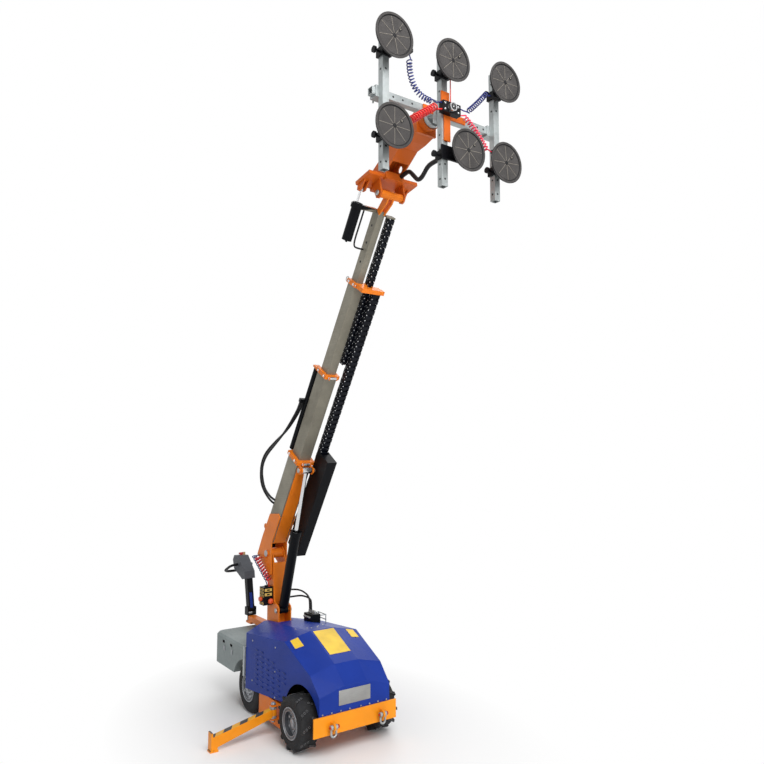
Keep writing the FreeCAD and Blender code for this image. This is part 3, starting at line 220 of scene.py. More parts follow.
def plastic(name, colour, rough=0.5, grain=900.0, depth=0.25, edge=0.002, lift=1.8, specular=0.4):
    n = Nodes(name)
    cloud = n.spread(n.noise(7, 3), 0.3, 0.7)
    tone = n.mix(cloud, shade(colour, 0.85), shade(colour, 1.2))
    dust = n.spread(n.noise(90, 5, rough=0.7), 0.55, 0.8)
    tone = n.mix(n.math("MULTIPLY", dust, 0.3), tone, shade(colour, lift + 0.4))
    normal, rim = n.edges(edge)
    # Edges painted lighter by the lift: a painted highlight along them
    tone = n.mix(n.math("MULTIPLY", rim, 0.4), tone, shade(colour, lift))
    skin = n.bump(n.noise(grain, 2), depth, 0.0004, normal)
    return n.done(tone, n.spread(dust, 0, 1, rough, rough + 0.2), skin, 0, 0, specular)


def rubber(name, colour, rough=0.7, lift=2.2):
    n = Nodes(name)
    cloud = n.spread(n.noise(9, 4), 0.35, 0.7)
    tone = n.mix(cloud, shade(colour, 0.8), shade(colour, 1.3))
    dust = n.spread(n.noise(55, 6, rough=0.75), 0.5, 0.78)
    tone = n.mix(n.math("MULTIPLY", dust, 0.35), tone, shade(colour, lift + 0.6))
    normal, rim = n.edges(0.004)
    # Edges painted lighter: a painted highlight along them, such as the outlines of the tyre lugs
    tone = n.mix(n.math("MULTIPLY", rim, 0.55), tone, shade(colour, lift + 1.0))
    skin = n.bump(n.noise(420, 3), 0.3, 0.0006, normal)
    return n.done(tone, n.spread(dust, 0, 1, rough, rough + 0.15), skin, 0, 0, 0.2)


def chrome(name, colour, rough=0.14):
    n = Nodes(name)
    haze = n.noise(80, 5, rough=0.7)
    tone = n.mix(n.spread(haze, 0.3, 0.7), shade(colour, 0.85), colour)
    normal = n.edges(0.0015)[0]
    gloss = n.spread(haze, 0.35, 0.75, rough, rough + 0.16)
    return n.done(tone, gloss, n.bump(haze, 0.03, 0.0003, normal), 1.0)


def striped(name, first, second, direction, period):
    # Painted hazard bands, straight across one direction
    n = Nodes(name)
    way = n.node("VectorMath", operation="DOT_PRODUCT")
    n.link(n.place, way.inputs[0])
    way.inputs[1].default_value = direction
    wave = n.math("PINGPONG", n.math("DIVIDE", way.outputs["Value"], period), 0.5)
    band = n.spread(wave, 0.243, 0.257)
    fine = n.noise(60, 5, rough=0.7)
    one = n.mix(n.spread(fine, 0.4, 0.7), shade(first, 0.85), shade(first, 1.08))
    two = n.mix(n.spread(fine, 0.45, 0.75), second, shade(second, 2.2))
    normal = n.edges(0.0025)[0]
    return n.done(n.mix(band, one, two), n.spread(fine, 0.3, 0.8, 0.38, 0.6), normal)


ORANGE = (0.83, 0.205, 0.012)
AMBER = (0.90, 0.30, 0.010)
BLUE = (0.011, 0.038, 0.285)
ZINC = (0.36, 0.388, 0.388)
BAND, STRIPE, STRIPE_PERIOD = (0.84, 0.40, 0.012), (0.012, 0.012, 0.012), 0.112
m_orange = paint("orange_paint", ORANGE, worn=(0.95, 0.42, 0.10), coat=0.04, specular=0.2)
m_bumper = paint("amber_paint", AMBER, worn=(0.98, 0.55, 0.12), coat=0.04, specular=0.2)
m_blue = paint("blue_paint", BLUE, rough=0.33, worn=(0.06, 0.11, 0.42), coat=0.02, wear=0.3, grime=0.15,
               specular=0.1)
m_black = paint("black_paint", (0.004, 0.0045, 0.006), rough=0.34, worn=(0.05, 0.05, 0.056), coat=0.0, grime=0.2,
                specular=0.09)
m_head = paint("head_orange", (0.60, 0.118, 0.010), worn=(0.85, 0.30, 0.05), coat=0.04, grime=0.9, specular=0.2)
m_cast = paint("cast_grey", (0.235, 0.275, 0.275), rough=0.5, edge=0.004, worn=(0.33, 0.38, 0.38), coat=0.0,
               grime=0.8)
m_boom = metal("boom_steel", (0.245, 0.228, 0.180), 0.5, (0, lean, 0), (0.12, 6, 6), 0.12, metallic=0.55)
m_zinc = metal("zinc_tube", ZINC, 0.36, (0, 0, 0), (5, 5, 0.3), 0.35, metallic=0.55, streak=0.35)
m_bar = metal("zinc_bar", ZINC, 0.36, (0, 0, 0), (5, 0.3, 5), 0.35, metallic=0.55, streak=0.35)
m_steel = metal("bare_steel", (0.36, 0.36, 0.35), 0.34, (0, 0, 0), (2, 0.2, 8), 0.05, metallic=0.85)
m_rim = metal("silver_rim", (0.33, 0.345, 0.37), 0.36, (0, 0, 0), (3, 3, 3), 0.15, metallic=0.6, streak=0.35)
# Dark rim metal: painted shade on the rims' inner faces, flanges and hand holes
m_rim_shade = metal("rim_painted_shade", (0.115, 0.12, 0.132), 0.45, (0, 0, 0), (3, 3, 3), 0.1, metallic=0.6, streak=0.4)
m_chrome = chrome("chrome_rod", (0.72, 0.73, 0.74))
m_tyre = rubber("tyre_rubber", (0.019, 0.019, 0.020), 0.72, 3.0)
m_pad = rubber("pad_rubber", (0.046, 0.043, 0.042), 0.8, 1.4)
m_lip = rubber("pad_lip", (0.010, 0.010, 0.011), 0.65, 1.6)
m_line = plastic("pad_line", (0.20, 0.18, 0.15), 0.65)
m_plastic = plastic("black_plastic", (0.0045, 0.0045, 0.006), 0.4, lift=4.0, specular=0.12)
m_link = plastic("chain_plastic", (0.0035, 0.0045, 0.008), 0.36, lift=6.0, specular=0.14)
m_dot = plastic("pale_dots", (0.62, 0.63, 0.64), 0.45, lift=1.2)
m_grey = plastic("grey_plastic", (0.075, 0.080, 0.092), 0.48, lift=2.0, specular=0.25)
m_tan = plastic("tan_plastic", (0.45, 0.30, 0.12), 0.4, lift=1.5)
m_red = plastic("red_plastic", (0.50, 0.022, 0.020), 0.3, depth=0.05, lift=1.5)
m_knob = plastic("knob_plastic", (0.72, 0.085, 0.018), 0.3, depth=0.05, lift=1.3)
m_yellow = plastic("yellow_plate", (0.76, 0.50, 0.030), 0.45, depth=0.05, lift=1.1)
m_hose = rubber("hose_rubber", (0.010, 0.010, 0.011), 0.45, 3.5)
m_coil_blue = plastic("coil_blue", (0.012, 0.020, 0.150), 0.28, depth=0.03, lift=1.8)
m_coil_red = plastic("coil_red", (0.62, 0.020, 0.018), 0.28, depth=0.03, lift=1.5)
m_coil_crimson = plastic("coil_crimson", (0.66, 0.030, 0.075), 0.28, depth=0.03, lift=1.5)
m_hazard = striped("hazard_paint", BAND, STRIPE, (0.52, 0.85, 0.0), STRIPE_PERIOD)
m_hazard_left = striped("hazard_paint_left", BAND, STRIPE, (0.85, -0.52, 0.0), STRIPE_PERIOD)
m_dial = plastic("gauge_dial", (0.020, 0.020, 0.022), 0.55, depth=0.02, lift=1.6)
m_stud = rubber("worn_rubber", (0.105, 0.105, 0.108), 0.75, 1.5)
m_tile = plastic("tile_yellow", (0.62, 0.40, 0.085), 0.45, depth=0.05, lift=1.2)
# Near black: painted shade in holes, slits, slot walls and slot bottoms
m_hole_shade = plastic("painted_hole_shade", (0.012, 0.012, 0.013), 0.7, lift=2.0)

finishes = (
    (m_orange, "chassis_frame tower boom_base"),
    (m_bumper, "bumper stabiliser_leg_left stabiliser_leg_right"),
    (m_head, "tilt_head carriage"),
    (m_blue, "hood"),
    (m_cast, "counterweight"),
    (m_boom, "boom_tube stage_1 stage_2 stage_3"),
    (m_zinc, "arm_left arm_mid arm_right weight_bracket shackle_left shackle_right"),
    (m_bar, "yoke_hub"),
    (m_rim, "rim_front_left rim_front_right rim_rear_left rim_rear_right"),
    (m_black, "chain_trough lift_barrel extension_barrel tilt_cylinder tiller_column control_box power_pack"),
    (m_chrome, "extension_rod lift_rod tilt_rod"),
    (m_tyre, "tyre_front_left tyre_front_right tyre_rear_left tyre_rear_right"),
    (m_lip, "pads_left pads_mid pads_right"),
    (m_plastic, "holders_left holders_mid holders_right tiller_base belly_button vacuum_manifold"),
    (m_grey, "tiller_head"),
    (m_tan, "throttle_paddle"),
    (m_red, "stop_button"),
)
for finish, words in finishes:
    for word in words.split():
        part = nodes[word]
        part.data.materials.clear()
        part.data.materials.append(finish)


def zone(name, finish, test):
    # A second finish on those faces of a solid whose middle passes the test
    data = nodes[name].data
    data.materials.append(finish)
    for face in data.polygons:
        if test(face.center, face.normal):
            face.material_index = len(data.materials) - 1


BOOM_BACK = BOOM.inverted()


def reach(point):
    # How far up the boom a point lies
    return (BOOM_BACK @ point).x


def stage_tip(c, n):
    # Tip of the third stage, and the edges of its two plates below the tube
    under = abs(n.y) < 0.98 and abs(c.y) < 0.032 and (BOOM_BACK @ c).z < 0.034
    return reach(c) > 3.281 or (reach(c) > 3.1 and under)


def weight_slot(c, n):
    # Walls of the slots in the counterweight's sides, which get painted shade
    along_side = -1.401 < c.x < -1.353 or -1.231 < c.x < -1.183
    return along_side and 0.485 < c.z < 0.515 and 0.30 < abs(c.y) < 0.3895 and abs(n.y) < 0.9


zone("stage_1", m_orange, lambda c, n: reach(c) > 1.8385)
zone("stage_2", m_orange, lambda c, n: reach(c) > 2.6585)
zone("stage_3", m_orange, stage_tip)
zone("stage_3", m_black, lambda c, n: c.y < -0.105 and reach(c) < 3.3)
zone("vacuum_manifold", m_head, lambda c, n: c.x < 1.3575)
zone("vacuum_manifold", m_red, lambda c, n: c.z > 4.6445 and c.x > 1.3575)
zone("vacuum_manifold", m_steel, lambda c, n: c.x > 1.4025)
zone("vacuum_manifold", m_dial, lambda c, n: c.x > 1.4255)
zone("stabiliser_leg_right", m_hazard, lambda c, n: n.z > 0.7 and c.y < -0.44 and c.z < 0.2)
zone("stabiliser_leg_left", m_hazard_left, lambda c, n: n.z > 0.7 and c.x < -0.39 and c.z < 0.2)
zone("power_pack", m_steel, lambda c, n: c.z > 0.793)
zone("tiller_head", m_plastic, lambda c, n: abs(c.y) > 0.0585 or c.x < -1.985)
zone("control_box", m_knob, lambda c, n: c.y < -0.1605)
# Painted shade on the slot walls
zone("counterweight", m_hole_shade, weight_slot)
for word in ("pads_left", "pads_mid", "pads_right"):
    zone(word, m_pad, lambda c, n: n.x > 0.7 and c.x > 1.44)

# Wheel centre, outward side, and how far out the disc and the flange stand, all at one height
WHEEL_Z = 0.205
wheels = {"front_left": (0.0, 0.352, 1, 0.043, 0.078), "front_right": (0.0, -0.352, -1, 0.043, 0.078),
          "rear_left": (-0.915, 0.310, 1, 0.036, 0.044), "rear_right": (-0.915, -0.310, -1, 0.036, 0.044)}
# Rim faces that look toward the axle get the dark finish: painted shade on the inner faces
for word, (x, *_) in wheels.items():
    zone("rim_" + word, m_rim_shade, lambda c, n: n.x * (c.x - x) + n.z * (c.z - WHEEL_Z) < -0.03)
for word in ("shackle_left", "shackle_right"):
    zone(word, m_red, lambda c, n: abs(abs(c.y) - 0.222) > 0.0292 and c.z > 0.205)


# Mesh pieces
SHARP_ANGLE = math.radians(35.0)


def block(mesh, low, high, place=None, edge=0.0015):
    # Box with rounded edges
    made = bmesh.ops.create_cube(mesh, size=1.0)["verts"]
    size = Vector(high) - Vector(low)
    middle = (Vector(high) + Vector(low)) / 2
    for vert in made:
        vert.co = Vector((vert.co.x * size.x, vert.co.y * size.y, vert.co.z * size.z)) + middle
    sides = list({side for vert in made for side in vert.link_edges})
    width = min(edge, 0.3 * min(size))
    cut = bmesh.ops.bevel(mesh, geom=sides, offset=width, segments=2, profile=0.7, affect="EDGES")
    if place is not None:
        moved = {v for f in cut["faces"] for v in f.verts} | {v for v in made if v.is_valid}
        bmesh.ops.transform(mesh, matrix=place, verts=list(moved))


def lathe(mesh, profile, base, way, sides=24):
    # Profile of (distance along way, radius) pairs, closed on the axis at both ends
    way = Vector(way).normalized()
    turn = way.to_track_quat("Z", "Y").to_matrix().to_4x4()
    place = Matrix.Translation(base) @ turn
    rings = []
    for height, radius in profile:
        ring = []
        for number in range(sides):
            angle = 2 * math.pi * number / sides
            ring.append(mesh.verts.new(place @ Vector((radius * math.cos(angle), radius * math.sin(angle), height))))
        rings.append(ring)
    for lower, upper in zip(rings, rings[1:]):
        for number in range(sides):
            after = (number + 1) % sides
            mesh.faces.new((lower[number], lower[after], upper[after], upper[number]))
    mesh.faces.new(list(reversed(rings[0])))
    mesh.faces.new(rings[-1])


def bolt(mesh, base, way, radius=0.009, height=0.006):
    # Washer and hexagon head
    way = Vector(way).normalized()
    lathe(mesh, [(0, radius * 1.45), (0.0016, radius * 1.45), (0.0018, radius * 1.35)], base, way, 20)
    lathe(mesh, [(0.0015, radius), (height, radius), (height + 0.0008, radius * 0.86)], base, way, 6)


def dome(mesh, base, way, radius=0.006, height=0.003):
    # Round screw or rivet head
    profile = [(0, radius), (height * 0.5, radius * 0.92), (height * 0.85, radius * 0.6), (height, radius * 0.3)]
    lathe(mesh, profile, base, way, 16)


def hoop(mesh, profile, base, way, sides=24):
    # Ring whose closed profile of (distance along way, radius) pairs turns round the way
    turn = Vector(way).normalized().to_track_quat("Z", "Y").to_matrix().to_4x4()
    place = Matrix.Translation(base) @ turn
    rings = []
    for number in range(sides):
        angle = 2 * math.pi * number / sides
        across, up = math.cos(angle), math.sin(angle)
        rings.append([mesh.verts.new(place @ Vector((radius * across, radius * up, distance)))
                      for distance, radius in profile])
    for number in range(sides):
        here, after = rings[number], rings[(number + 1) % sides]
        for corner in range(len(profile)):
            other = (corner + 1) % len(profile)
            mesh.faces.new((here[corner], after[corner], after[other], here[other]))


def piece(name, mesh, finish, body, replaced=()):
    # A finished mesh that rides one body
    data = bpy.data.meshes.new(name)
    bmesh.ops.recalc_face_normals(mesh, faces=mesh.faces)
    mesh.to_mesh(data)
    mesh.free()
    made = bpy.data.objects.new(name, data)
    scene.collection.objects.link(made)
    data.materials.append(finish)
    data.shade_smooth()
    data.set_sharp_from_angle(angle=SHARP_ANGLE)
    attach(made, body)
    if replaced:
        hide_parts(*replaced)
    return made


def cord(name, points, radius, finish, body, replaced=(), shrink=None):
    # A hose whose line is one spline through the route's points
    curve = bpy.data.curves.new(name + "_line", "CURVE")
    curve.dimensions = "3D"
    spline = curve.splines.new("NURBS")
    spline.points.add(len(points) - 1)
    for place, point in zip(spline.points, points):
        place.co = (*point, 1)
    spline.order_u = 3
    spline.use_endpoint_u = True
    curve.resolution_u = 3
    line = bpy.data.objects.new(name + "_line", curve)
    scene.collection.objects.link(line)
    bpy.context.view_layer.update()
    path_mesh = bpy.data.meshes.new_from_object(line.evaluated_get(bpy.context.evaluated_depsgraph_get()))
    curve.bevel_depth = radius
    curve.bevel_resolution = 2
    curve.use_fill_caps = True
    bpy.context.view_layer.update()
    data = bpy.data.meshes.new_from_object(line.evaluated_get(bpy.context.evaluated_depsgraph_get()))
    bpy.data.objects.remove(line)
    made = bpy.data.objects.new(name, data)
    scene.collection.objects.link(made)
    data.materials.clear()
    data.materials.append(finish)
    data.shade_smooth()
    if isinstance(body, tuple):
        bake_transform(made)
    else:
        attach(made, body)
    if replaced:
        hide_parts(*replaced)
    if shrink:
        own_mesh(made)


MARKS = 200
STEPS_PER_TURN = 12
LEAD = 2.2


def curl(start, start_way, end, end_way, bend, turns, across, radius, hose):
    # Points of a coiled hose: straight ends and a helix round a bent axis between them
    start, end, across = Vector(start), Vector(end), Vector(across)
    start_way, end_way = Vector(start_way), Vector(end_way)
    head = start + start_way * (2 * hose)
    tail = end - end_way * (2 * hose)
    a = head + start_way * (LEAD * radius)
    b = tail - end_way * (LEAD * radius)
    middle = (a + b) / 2 if bend is None else Vector(bend)

    def axis(s):
        return a * (1 - s) ** 2 + middle * (2 * s * (1 - s)) + b * s * s

    # Shares of the axis at even steps of its length
    marks = [0.0]
    for number in range(MARKS):
        marks.append(marks[-1] + (axis((number + 1) / MARKS) - axis(number / MARKS)).length)
    points = [start, head]
    steps = turns * STEPS_PER_TURN
    mark = 0
    for number in range(steps + 1):
        wanted = marks[-1] * number / steps
        while mark < MARKS - 1 and marks[mark + 1] < wanted:
            mark += 1
        s = (mark + (wanted - marks[mark]) / (marks[mark + 1] - marks[mark])) / MARKS
        way = (axis(s + 1e-4) - axis(s - 1e-4)).normalized()
        up = across.cross(way).normalized()
        turn = 2 * math.pi * turns * number / steps
        points.append(axis(s) + up * (radius * math.cos(turn)) + across * (radius * math.sin(turn)))
    return points + [tail, end]


# Coiled air hoses
left, right, down, front = (0, -1, 0), (0, 1, 0), (0, 0, -1), (1, 0, 0)
PORT_X, DROP_Y = 1.386, -0.338
MANIFOLD_LEFT, MANIFOLD_RIGHT = -0.058, 0.100
ul = curl((PORT_X, DROP_Y, 4.884), down, (PORT_X, -0.104, 4.614), Vector((0, 0.99, 0.08)).normalized(),
          (PORT_X, DROP_Y, 4.597), 16, front, 0.0175, 0.0043)
ul += [Vector((PORT_X, -0.085, 4.625)), Vector((PORT_X, MANIFOLD_LEFT, 4.629))]
ll = curl((PORT_X, MANIFOLD_LEFT, 4.581), left, (PORT_X, DROP_Y, 4.356), down, None, 12, front, 0.023, 0.0055)
ur = curl((PORT_X, 0.404, 4.816), left, (PORT_X, 0.145, 4.625), Vector((0, -0.95, -0.31)).normalized(),
          (PORT_X, 0.280, 4.722), 11, front, 0.0165, 0.0046)
ur += [Vector((PORT_X, 0.125, 4.628)), Vector((PORT_X, MANIFOLD_RIGHT, 4.629))]
lr = curl((PORT_X, MANIFOLD_RIGHT, 4.581), right, (PORT_X, 0.404, 4.396), right, (PORT_X, 0.240, 4.535), 13, front,
          0.016, 0.005)
squeeze_left = ("left_bar_slide", (0, 1, 0), (PORT_X, MANIFOLD_LEFT, 4.6), 0.357)
squeeze_right = ("right_bar_slide", (0, 1, 0), (PORT_X, MANIFOLD_RIGHT, 4.6), 0.836)
for name, line, radius, finish, replaced, shrink in (
        ("coil_upper_left", ul, 0.0043, m_coil_blue, ("coil_hoses_left",), squeeze_left),
        ("coil_lower_left", ll, 0.0055, m_coil_red, (), squeeze_left),
        ("coil_upper_right", ur, 0.0046, m_coil_blue, ("coil_hoses_right",), squeeze_right),
        ("coil_lower_right", lr, 0.0050, m_coil_crimson, (), squeeze_right)):
    cord(name, line, radius, finish, "yoke", replaced, shrink)

# Coiled pair between the control box and the boom cheek
tower_coils = ((-0.095, 0.060, m_coil_red, ("tower_coils",)), (-0.120, 0.120, m_coil_blue, ()))
for number, (u, w, finish, replaced) in enumerate(tower_coils):
    top = boom(u, -0.0825, w)
    foot = (-1.055 - 0.042 * number, -0.095, 1.010)
    line = curl(foot, (0, 0, 1), top, (0, 1, 0), None, 9, Vector((0.5, 0, 0.87)).normalized(), 0.020, 0.005)
    ends = ("chassis", "boom", foot, tuple(top))
    cord("tower_coil_%d" % (number + 1), line, 0.005, finish, ends, replaced)

# Hoses beside the boom, to the extension cylinder's port block
for number in (0, 1):
    shift = 0.024 * number
    route = [(0.445 + 1.5 * shift, -0.066, 0.166), (0.444 + 1.4 * shift, -0.088, 0.192),
             (0.438 + shift, -0.090, 0.350), (0.470 + shift, -0.090, 0.475 - 1.6 * shift),
             (0.590, -0.088 - 0.5 * shift, 0.563 - 2.0 * shift),
             (0.745, -0.096 - 0.5 * shift, 0.549 - 2.0 * shift), (0.960, -0.102 - 0.5 * shift, 0.416 - 1.6 * shift),
             (1.158, -0.100 - 0.7 * shift, 0.280 - 0.3 * shift), (1.330, -0.088 - 0.9 * shift, 0.222),
             (1.440, -0.074 - shift, 0.207), (1.500, -0.074 - shift, 0.207)]
    shrink = ("telescope_1", tuple(along), tuple(boom(0.45, -0.063, 0.17)), 0.335)
    cord("boom_hose_%d" % (number + 1), [boom(*p) for p in route], 0.0105, m_hose, "boom",
         ("boom_hoses",) if number == 0 else (), shrink)

# Conduit from the tilt cylinder's strap into the third stage
route = [(3.258, -0.126, 0.100), (3.110, -0.126, 0.100), (3.020, -0.127, 0.100), (2.966, -0.118, 0.100),
         (2.955, -0.085, 0.100), (2.955, -0.029, 0.100)]
cord("tilt_conduit", [boom(*p) for p in route], 0.007, m_hose, "stage_3", ("head_hose",))

# Hoses from the valve block to the tower
VALVE_X = -0.760
for number, shift in enumerate((-0.045, -0.015)):
    start = Vector((VALVE_X + shift, 0.190, 0.818))
    finish = Vector((-1.060 + 0.034 * number, 0.065, 0.960 - 0.060 * number))
    route = [start, start + Vector((0, 0, 0.070)), start * 0.62 + finish * 0.38 + Vector((0.02, 0.075, 0.055)),
             start * 0.25 + finish * 0.75 + Vector((0.02, 0.090, 0.040)), finish + Vector((0, 0.070, 0)), finish]
    cord("valve_hose_%d" % (number + 1), route, 0.008, m_hose, "chassis",
         ("valve_hoses",) if number == 0 else ())

# Conduit across the slewing joint
start = Vector((0.7653, 0.060, 4.3334))
end = Vector((1.284, 0, 4.275))
route = [start, start + 0.060 * Vector((0.9848, 0, 0.1736)), (0.868, 0.060, 4.345), (0.934, 0.050, 4.285),
         (1.000, 0.038, 4.222), (1.070, 0.025, 4.228), (1.150, 0.004, 4.270), end - Vector((0.060, 0, 0)), end]
ends = ("carriage", "yoke", (0.80, 0, 4.3), (1.26, 0, 4.3))
cord("yoke_conduit", route, 0.017, m_hose, ends, ("slew_conduit",))

# Bright ring, hub and needle of the vacuum gauge, and bolts on its block
SLEW_Z = 4.605
ring = bmesh.new()
hoop(ring, [(0, 0.0235), (0, 0.0305), (0.0035, 0.0305), (0.0035, 0.0235)], (1.4235, 0.016, SLEW_Z), front, 40)
dome(ring, (1.4258, 0.016, SLEW_Z), front, 0.004, 0.002)
for y in (-0.040, 0.078):
    for z in (4.584, 4.626):
        bolt(ring, (1.402, y, z), front, 0.005, 0.004)
piece("gauge_ring", ring, m_chrome, "yoke")
needle = bmesh.new()
block(needle, (1.4256, 0.0155, SLEW_Z), (1.4266, 0.0168, 4.623), None, 0.0003)
piece("gauge_needle", needle, m_dot, "yoke")

LINK_PITCH = 0.0466


def energy_chain(name, u0, u1, y0, y1, w0, w1, body, replaced):
    # Side plates, cross bars and pale rivets on every link
    count = round((u1 - u0) / LINK_PITCH)
    pitch = (u1 - u0) / count
    links = bmesh.new()
    dots = bmesh.new()
    for number in range(count):
        a = u0 + number * pitch
        b = a + pitch
        inset = 0.0015 * (number % 2)
        for side, inward in ((y0, 1), (y1, -1)):
            near = side + inward * inset
            far = side + inward * (0.007 + inset)
            block(links, (a + 0.001, min(near, far), w0), (b - 0.001, max(near, far), w1), BOOM, 0.002)
            tip = side + inward * inset - inward * 0.0004
            for height in (w0 + 0.25 * (w1 - w0), w0 + 0.75 * (w1 - w0)):
                dome(dots, BOOM @ Vector((a + 0.3 * pitch, tip, height)), (0, -inward, 0), 0.0035, 0.0015)
        for low, high, facing in ((w0, w0 + 0.006, -1), (w1 - 0.006, w1, 1)):
            block(links, (a + 0.24 * pitch, y0 + 0.004, low), (a + 0.76 * pitch, y1 - 0.004, high), BOOM, 0.0015)
            face = w0 if facing < 0 else w1
            for across in (y0 + 0.004, y1 - 0.004):
                dome(dots, BOOM @ Vector((a + 0.9 * pitch, across, face)), square * facing, 0.0045, 0.0015)
    block(links, (u0, y0 + 0.012, w0 + 0.012), (u1, y1 - 0.012, w1 - 0.012), BOOM, 0.004)
    made = piece(name, links, m_link, body, replaced)
    marks = piece(name + "_rivets", dots, m_dot, body)
    for part in (made, marks):
        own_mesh(part)


energy_chain("chain_lower", 0.315, 2.660, 0.091, 0.164, -0.062, 0.0, "boom",
             ("chain_outer",))
energy_chain("chain_upper", 1.975, 3.255, 0.063, 0.113, 0.003, 0.065, "stage_2",
             ("chain_inner",))

# Vacuum pad faces: moulded rings, eight pale ribs, hub and inlet
PAD_FACE, RIB_FACE, INLET_FACE = 1.4400, 1.4422, 1.4425
pads = {"left_bar": ((-0.500, 4.924, 12), (-0.500, 4.318, 0)), "yoke": ((0.0, 4.924, 0), (0.134, 4.318, 4)),
        "right_bar": ((0.500, 4.924, 3), (0.500, 4.318, 6))}
moulded = [(0.0, 0.127), (0.0018, 0.1265)]
moulded += [(0.0012 + 0.0010 * (ring % 2), 0.0031 * ring) for ring in range(40, 0, -1)]
for body, places in pads.items():
    faces = bmesh.new()
    ribs = bmesh.new()
    hubs = bmesh.new()
    for y, z, turn in places:
        lathe(faces, moulded, (PAD_FACE, y, z), front, 72)
        for number in range(8):
            spoke = Matrix.Translation((RIB_FACE, y, z)) @ Matrix.Rotation(math.radians(turn + 45 * number), 4, "X")
            block(ribs, (-0.0005, -0.0013, 0.014), (0.0009, 0.0013, 0.123), spoke, 0.0004)
        lathe(hubs, [(0, 0.016), (0.0012, 0.0155), (0.0018, 0.012), (0.0018, 0.006)], (RIB_FACE, y, z), front, 32)
        inlet = Matrix.Translation((INLET_FACE, y, z)) @ Matrix.Rotation(math.radians(turn - 52), 4, "X")
        block(hubs, (-0.0008, -0.009, 0.058), (0.0022, 0.009, 0.086), inlet, 0.002)
        lathe(ribs, [(0, 0.0055), (0.0014, 0.005), (0.0016, 0.003)], inlet @ Vector((0.0022, 0, 0.072)), front, 16)
    piece("pad_faces_" + body, faces, m_pad, body)
    piece("pad_ribs_" + body, ribs, m_line, body)
    piece("pad_hubs_" + body, hubs, m_lip, body)

LEAF_SINK, LEAF_TAPER, LEAF_LIFT = 0.001, 0.0008, 0.0025


def leaf(mesh, corners):
    # Thin four-cornered plate lying on a slope
    corners = [Vector(c) for c in corners]
    normal = (corners[1] - corners[0]).cross(corners[3] - corners[0]).normalized()
    if normal.z < 0:
        normal = -normal
    low = [mesh.verts.new(c - normal * LEAF_SINK) for c in corners]
    middle = sum(corners, Vector()) / 4
    high = [mesh.verts.new(c + (middle - c).normalized() * LEAF_TAPER + normal * LEAF_LIFT) for c in corners]
    mesh.faces.new(high)
    mesh.faces.new(list(reversed(low)))
    for i in range(4):
        j = (i + 1) % 4
        mesh.faces.new((low[i], low[j], high[j], high[i]))


# Bare plates on the hood
plates = bmesh.new()
leaf(plates, ((-0.259, -0.088, 0.7752), (-0.259, 0.108, 0.7752), (0.016, 0.103, 0.6552), (0.016, -0.089, 0.6552)))
leaf(plates, ((-0.257, -0.299, 0.7335), (-0.258, -0.227, 0.7490), (-0.158, -0.227, 0.7057), (-0.165, -0.301, 0.6932)))
leaf(plates, ((-0.257, 0.299, 0.7335), (-0.258, 0.227, 0.7490), (-0.158, 0.227, 0.7057), (-0.165, 0.301, 0.6932)))
piece("hood_plates", plates, m_yellow, "chassis")
nose = bmesh.new()
block(nose, (0.2478, -0.150, 0.348), (0.2510, 0.136, 0.456), None, 0.0012)
for y in (-0.140, 0.126):
    for z in (0.358, 0.446):
        dome(nose, (0.2508, y, z), front, 0.004, 0.002)
piece("nose_plate", nose, m_steel, "chassis")


def hood_side(x):
    # Half width of the tapering hood
    return 0.375 - (x + 0.920) * 0.032 / 0.650


# Louvres and screws on the hood's sides, with dark strips of painted shade in the slits under the louvres
louvres = bmesh.new()
slit_shade = bmesh.new()
screws = bmesh.new()
for side in (-1, 1):
    for column in range(6):
        x = -0.735 + 0.092 * column
        for row in range(9):
            z = 0.285 + 0.040 * row
            if math.hypot(x + 0.045, z - 0.215) < 0.275 or z > 0.60 - 0.02 * column:
                continue
            y = side * hood_side(x)
            turn = Matrix.Translation((x, y, z)) @ Matrix.Rotation(side * 0.0492, 4, "Z")
            near, far = sorted((-0.0008 * side, 0.0030 * side))
            block(louvres, (-0.034, near, 0.002), (0.034, far, 0.009), turn, 0.0025)
            near, far = sorted((-0.0008 * side, 0.0010 * side))
            block(slit_shade, (-0.032, near, -0.0012), (0.032, far, 0.0022), turn, 0.0005)
    for x, z in ((-0.412, 0.655), (-0.412, 0.464), (-0.412, 0.262), (-0.800, 0.628), (-0.800, 0.300)):
        dome(screws, (x, side * hood_side(x), z), (0, side, 0), 0.0075, 0.004)
    for x, y, z in ((-0.4765, 0.133, 0.7548), (-0.419, 0.054, 0.7656), (-0.388, 0.028, 0.7686)):
        dome(screws, (x, side * y, z), (0, 0, 1), 0.0075, 0.004)
    for y in (0.05, 0.13, 0.21, 0.29):
        dome(screws, (0.2478, side * y, 0.308), front, 0.007, 0.004)
piece("hood_louvres", louvres, m_blue, "chassis")
piece("hood_slit_shade", slit_shade, m_hole_shade, "chassis")
piece("hood_screws", screws, m_steel, "chassis")

# Counterweight latches, and dark blocks of painted shade at the bottom of their slots
latches = bmesh.new()
shadows = bmesh.new()
for side in (-1, 1):
    for x, z in ((-1.377, 0.500), (-1.207, 0.500)):
        near, far = sorted((side * 0.3685, side * 0.3700))
        block(shadows, (x - 0.022, near, z - 0.011), (x + 0.022, far, z + 0.011), None, 0.0004)
    for x, z in ((-1.355, 0.448), (-1.185, 0.448)):
        near, far = sorted((side * 0.3895, side * 0.3965))
        block(latches, (x - 0.011, near, z - 0.020), (x + 0.011, far, z + 0.020), None, 0.003)
        dome(latches, (x, side * 0.3963, z - 0.008), (0, side, 0), 0.006, 0.005)
piece("weight_latches", latches, m_rim, "chassis")
piece("weight_slot_shadows", shadows, m_hole_shade, "chassis")
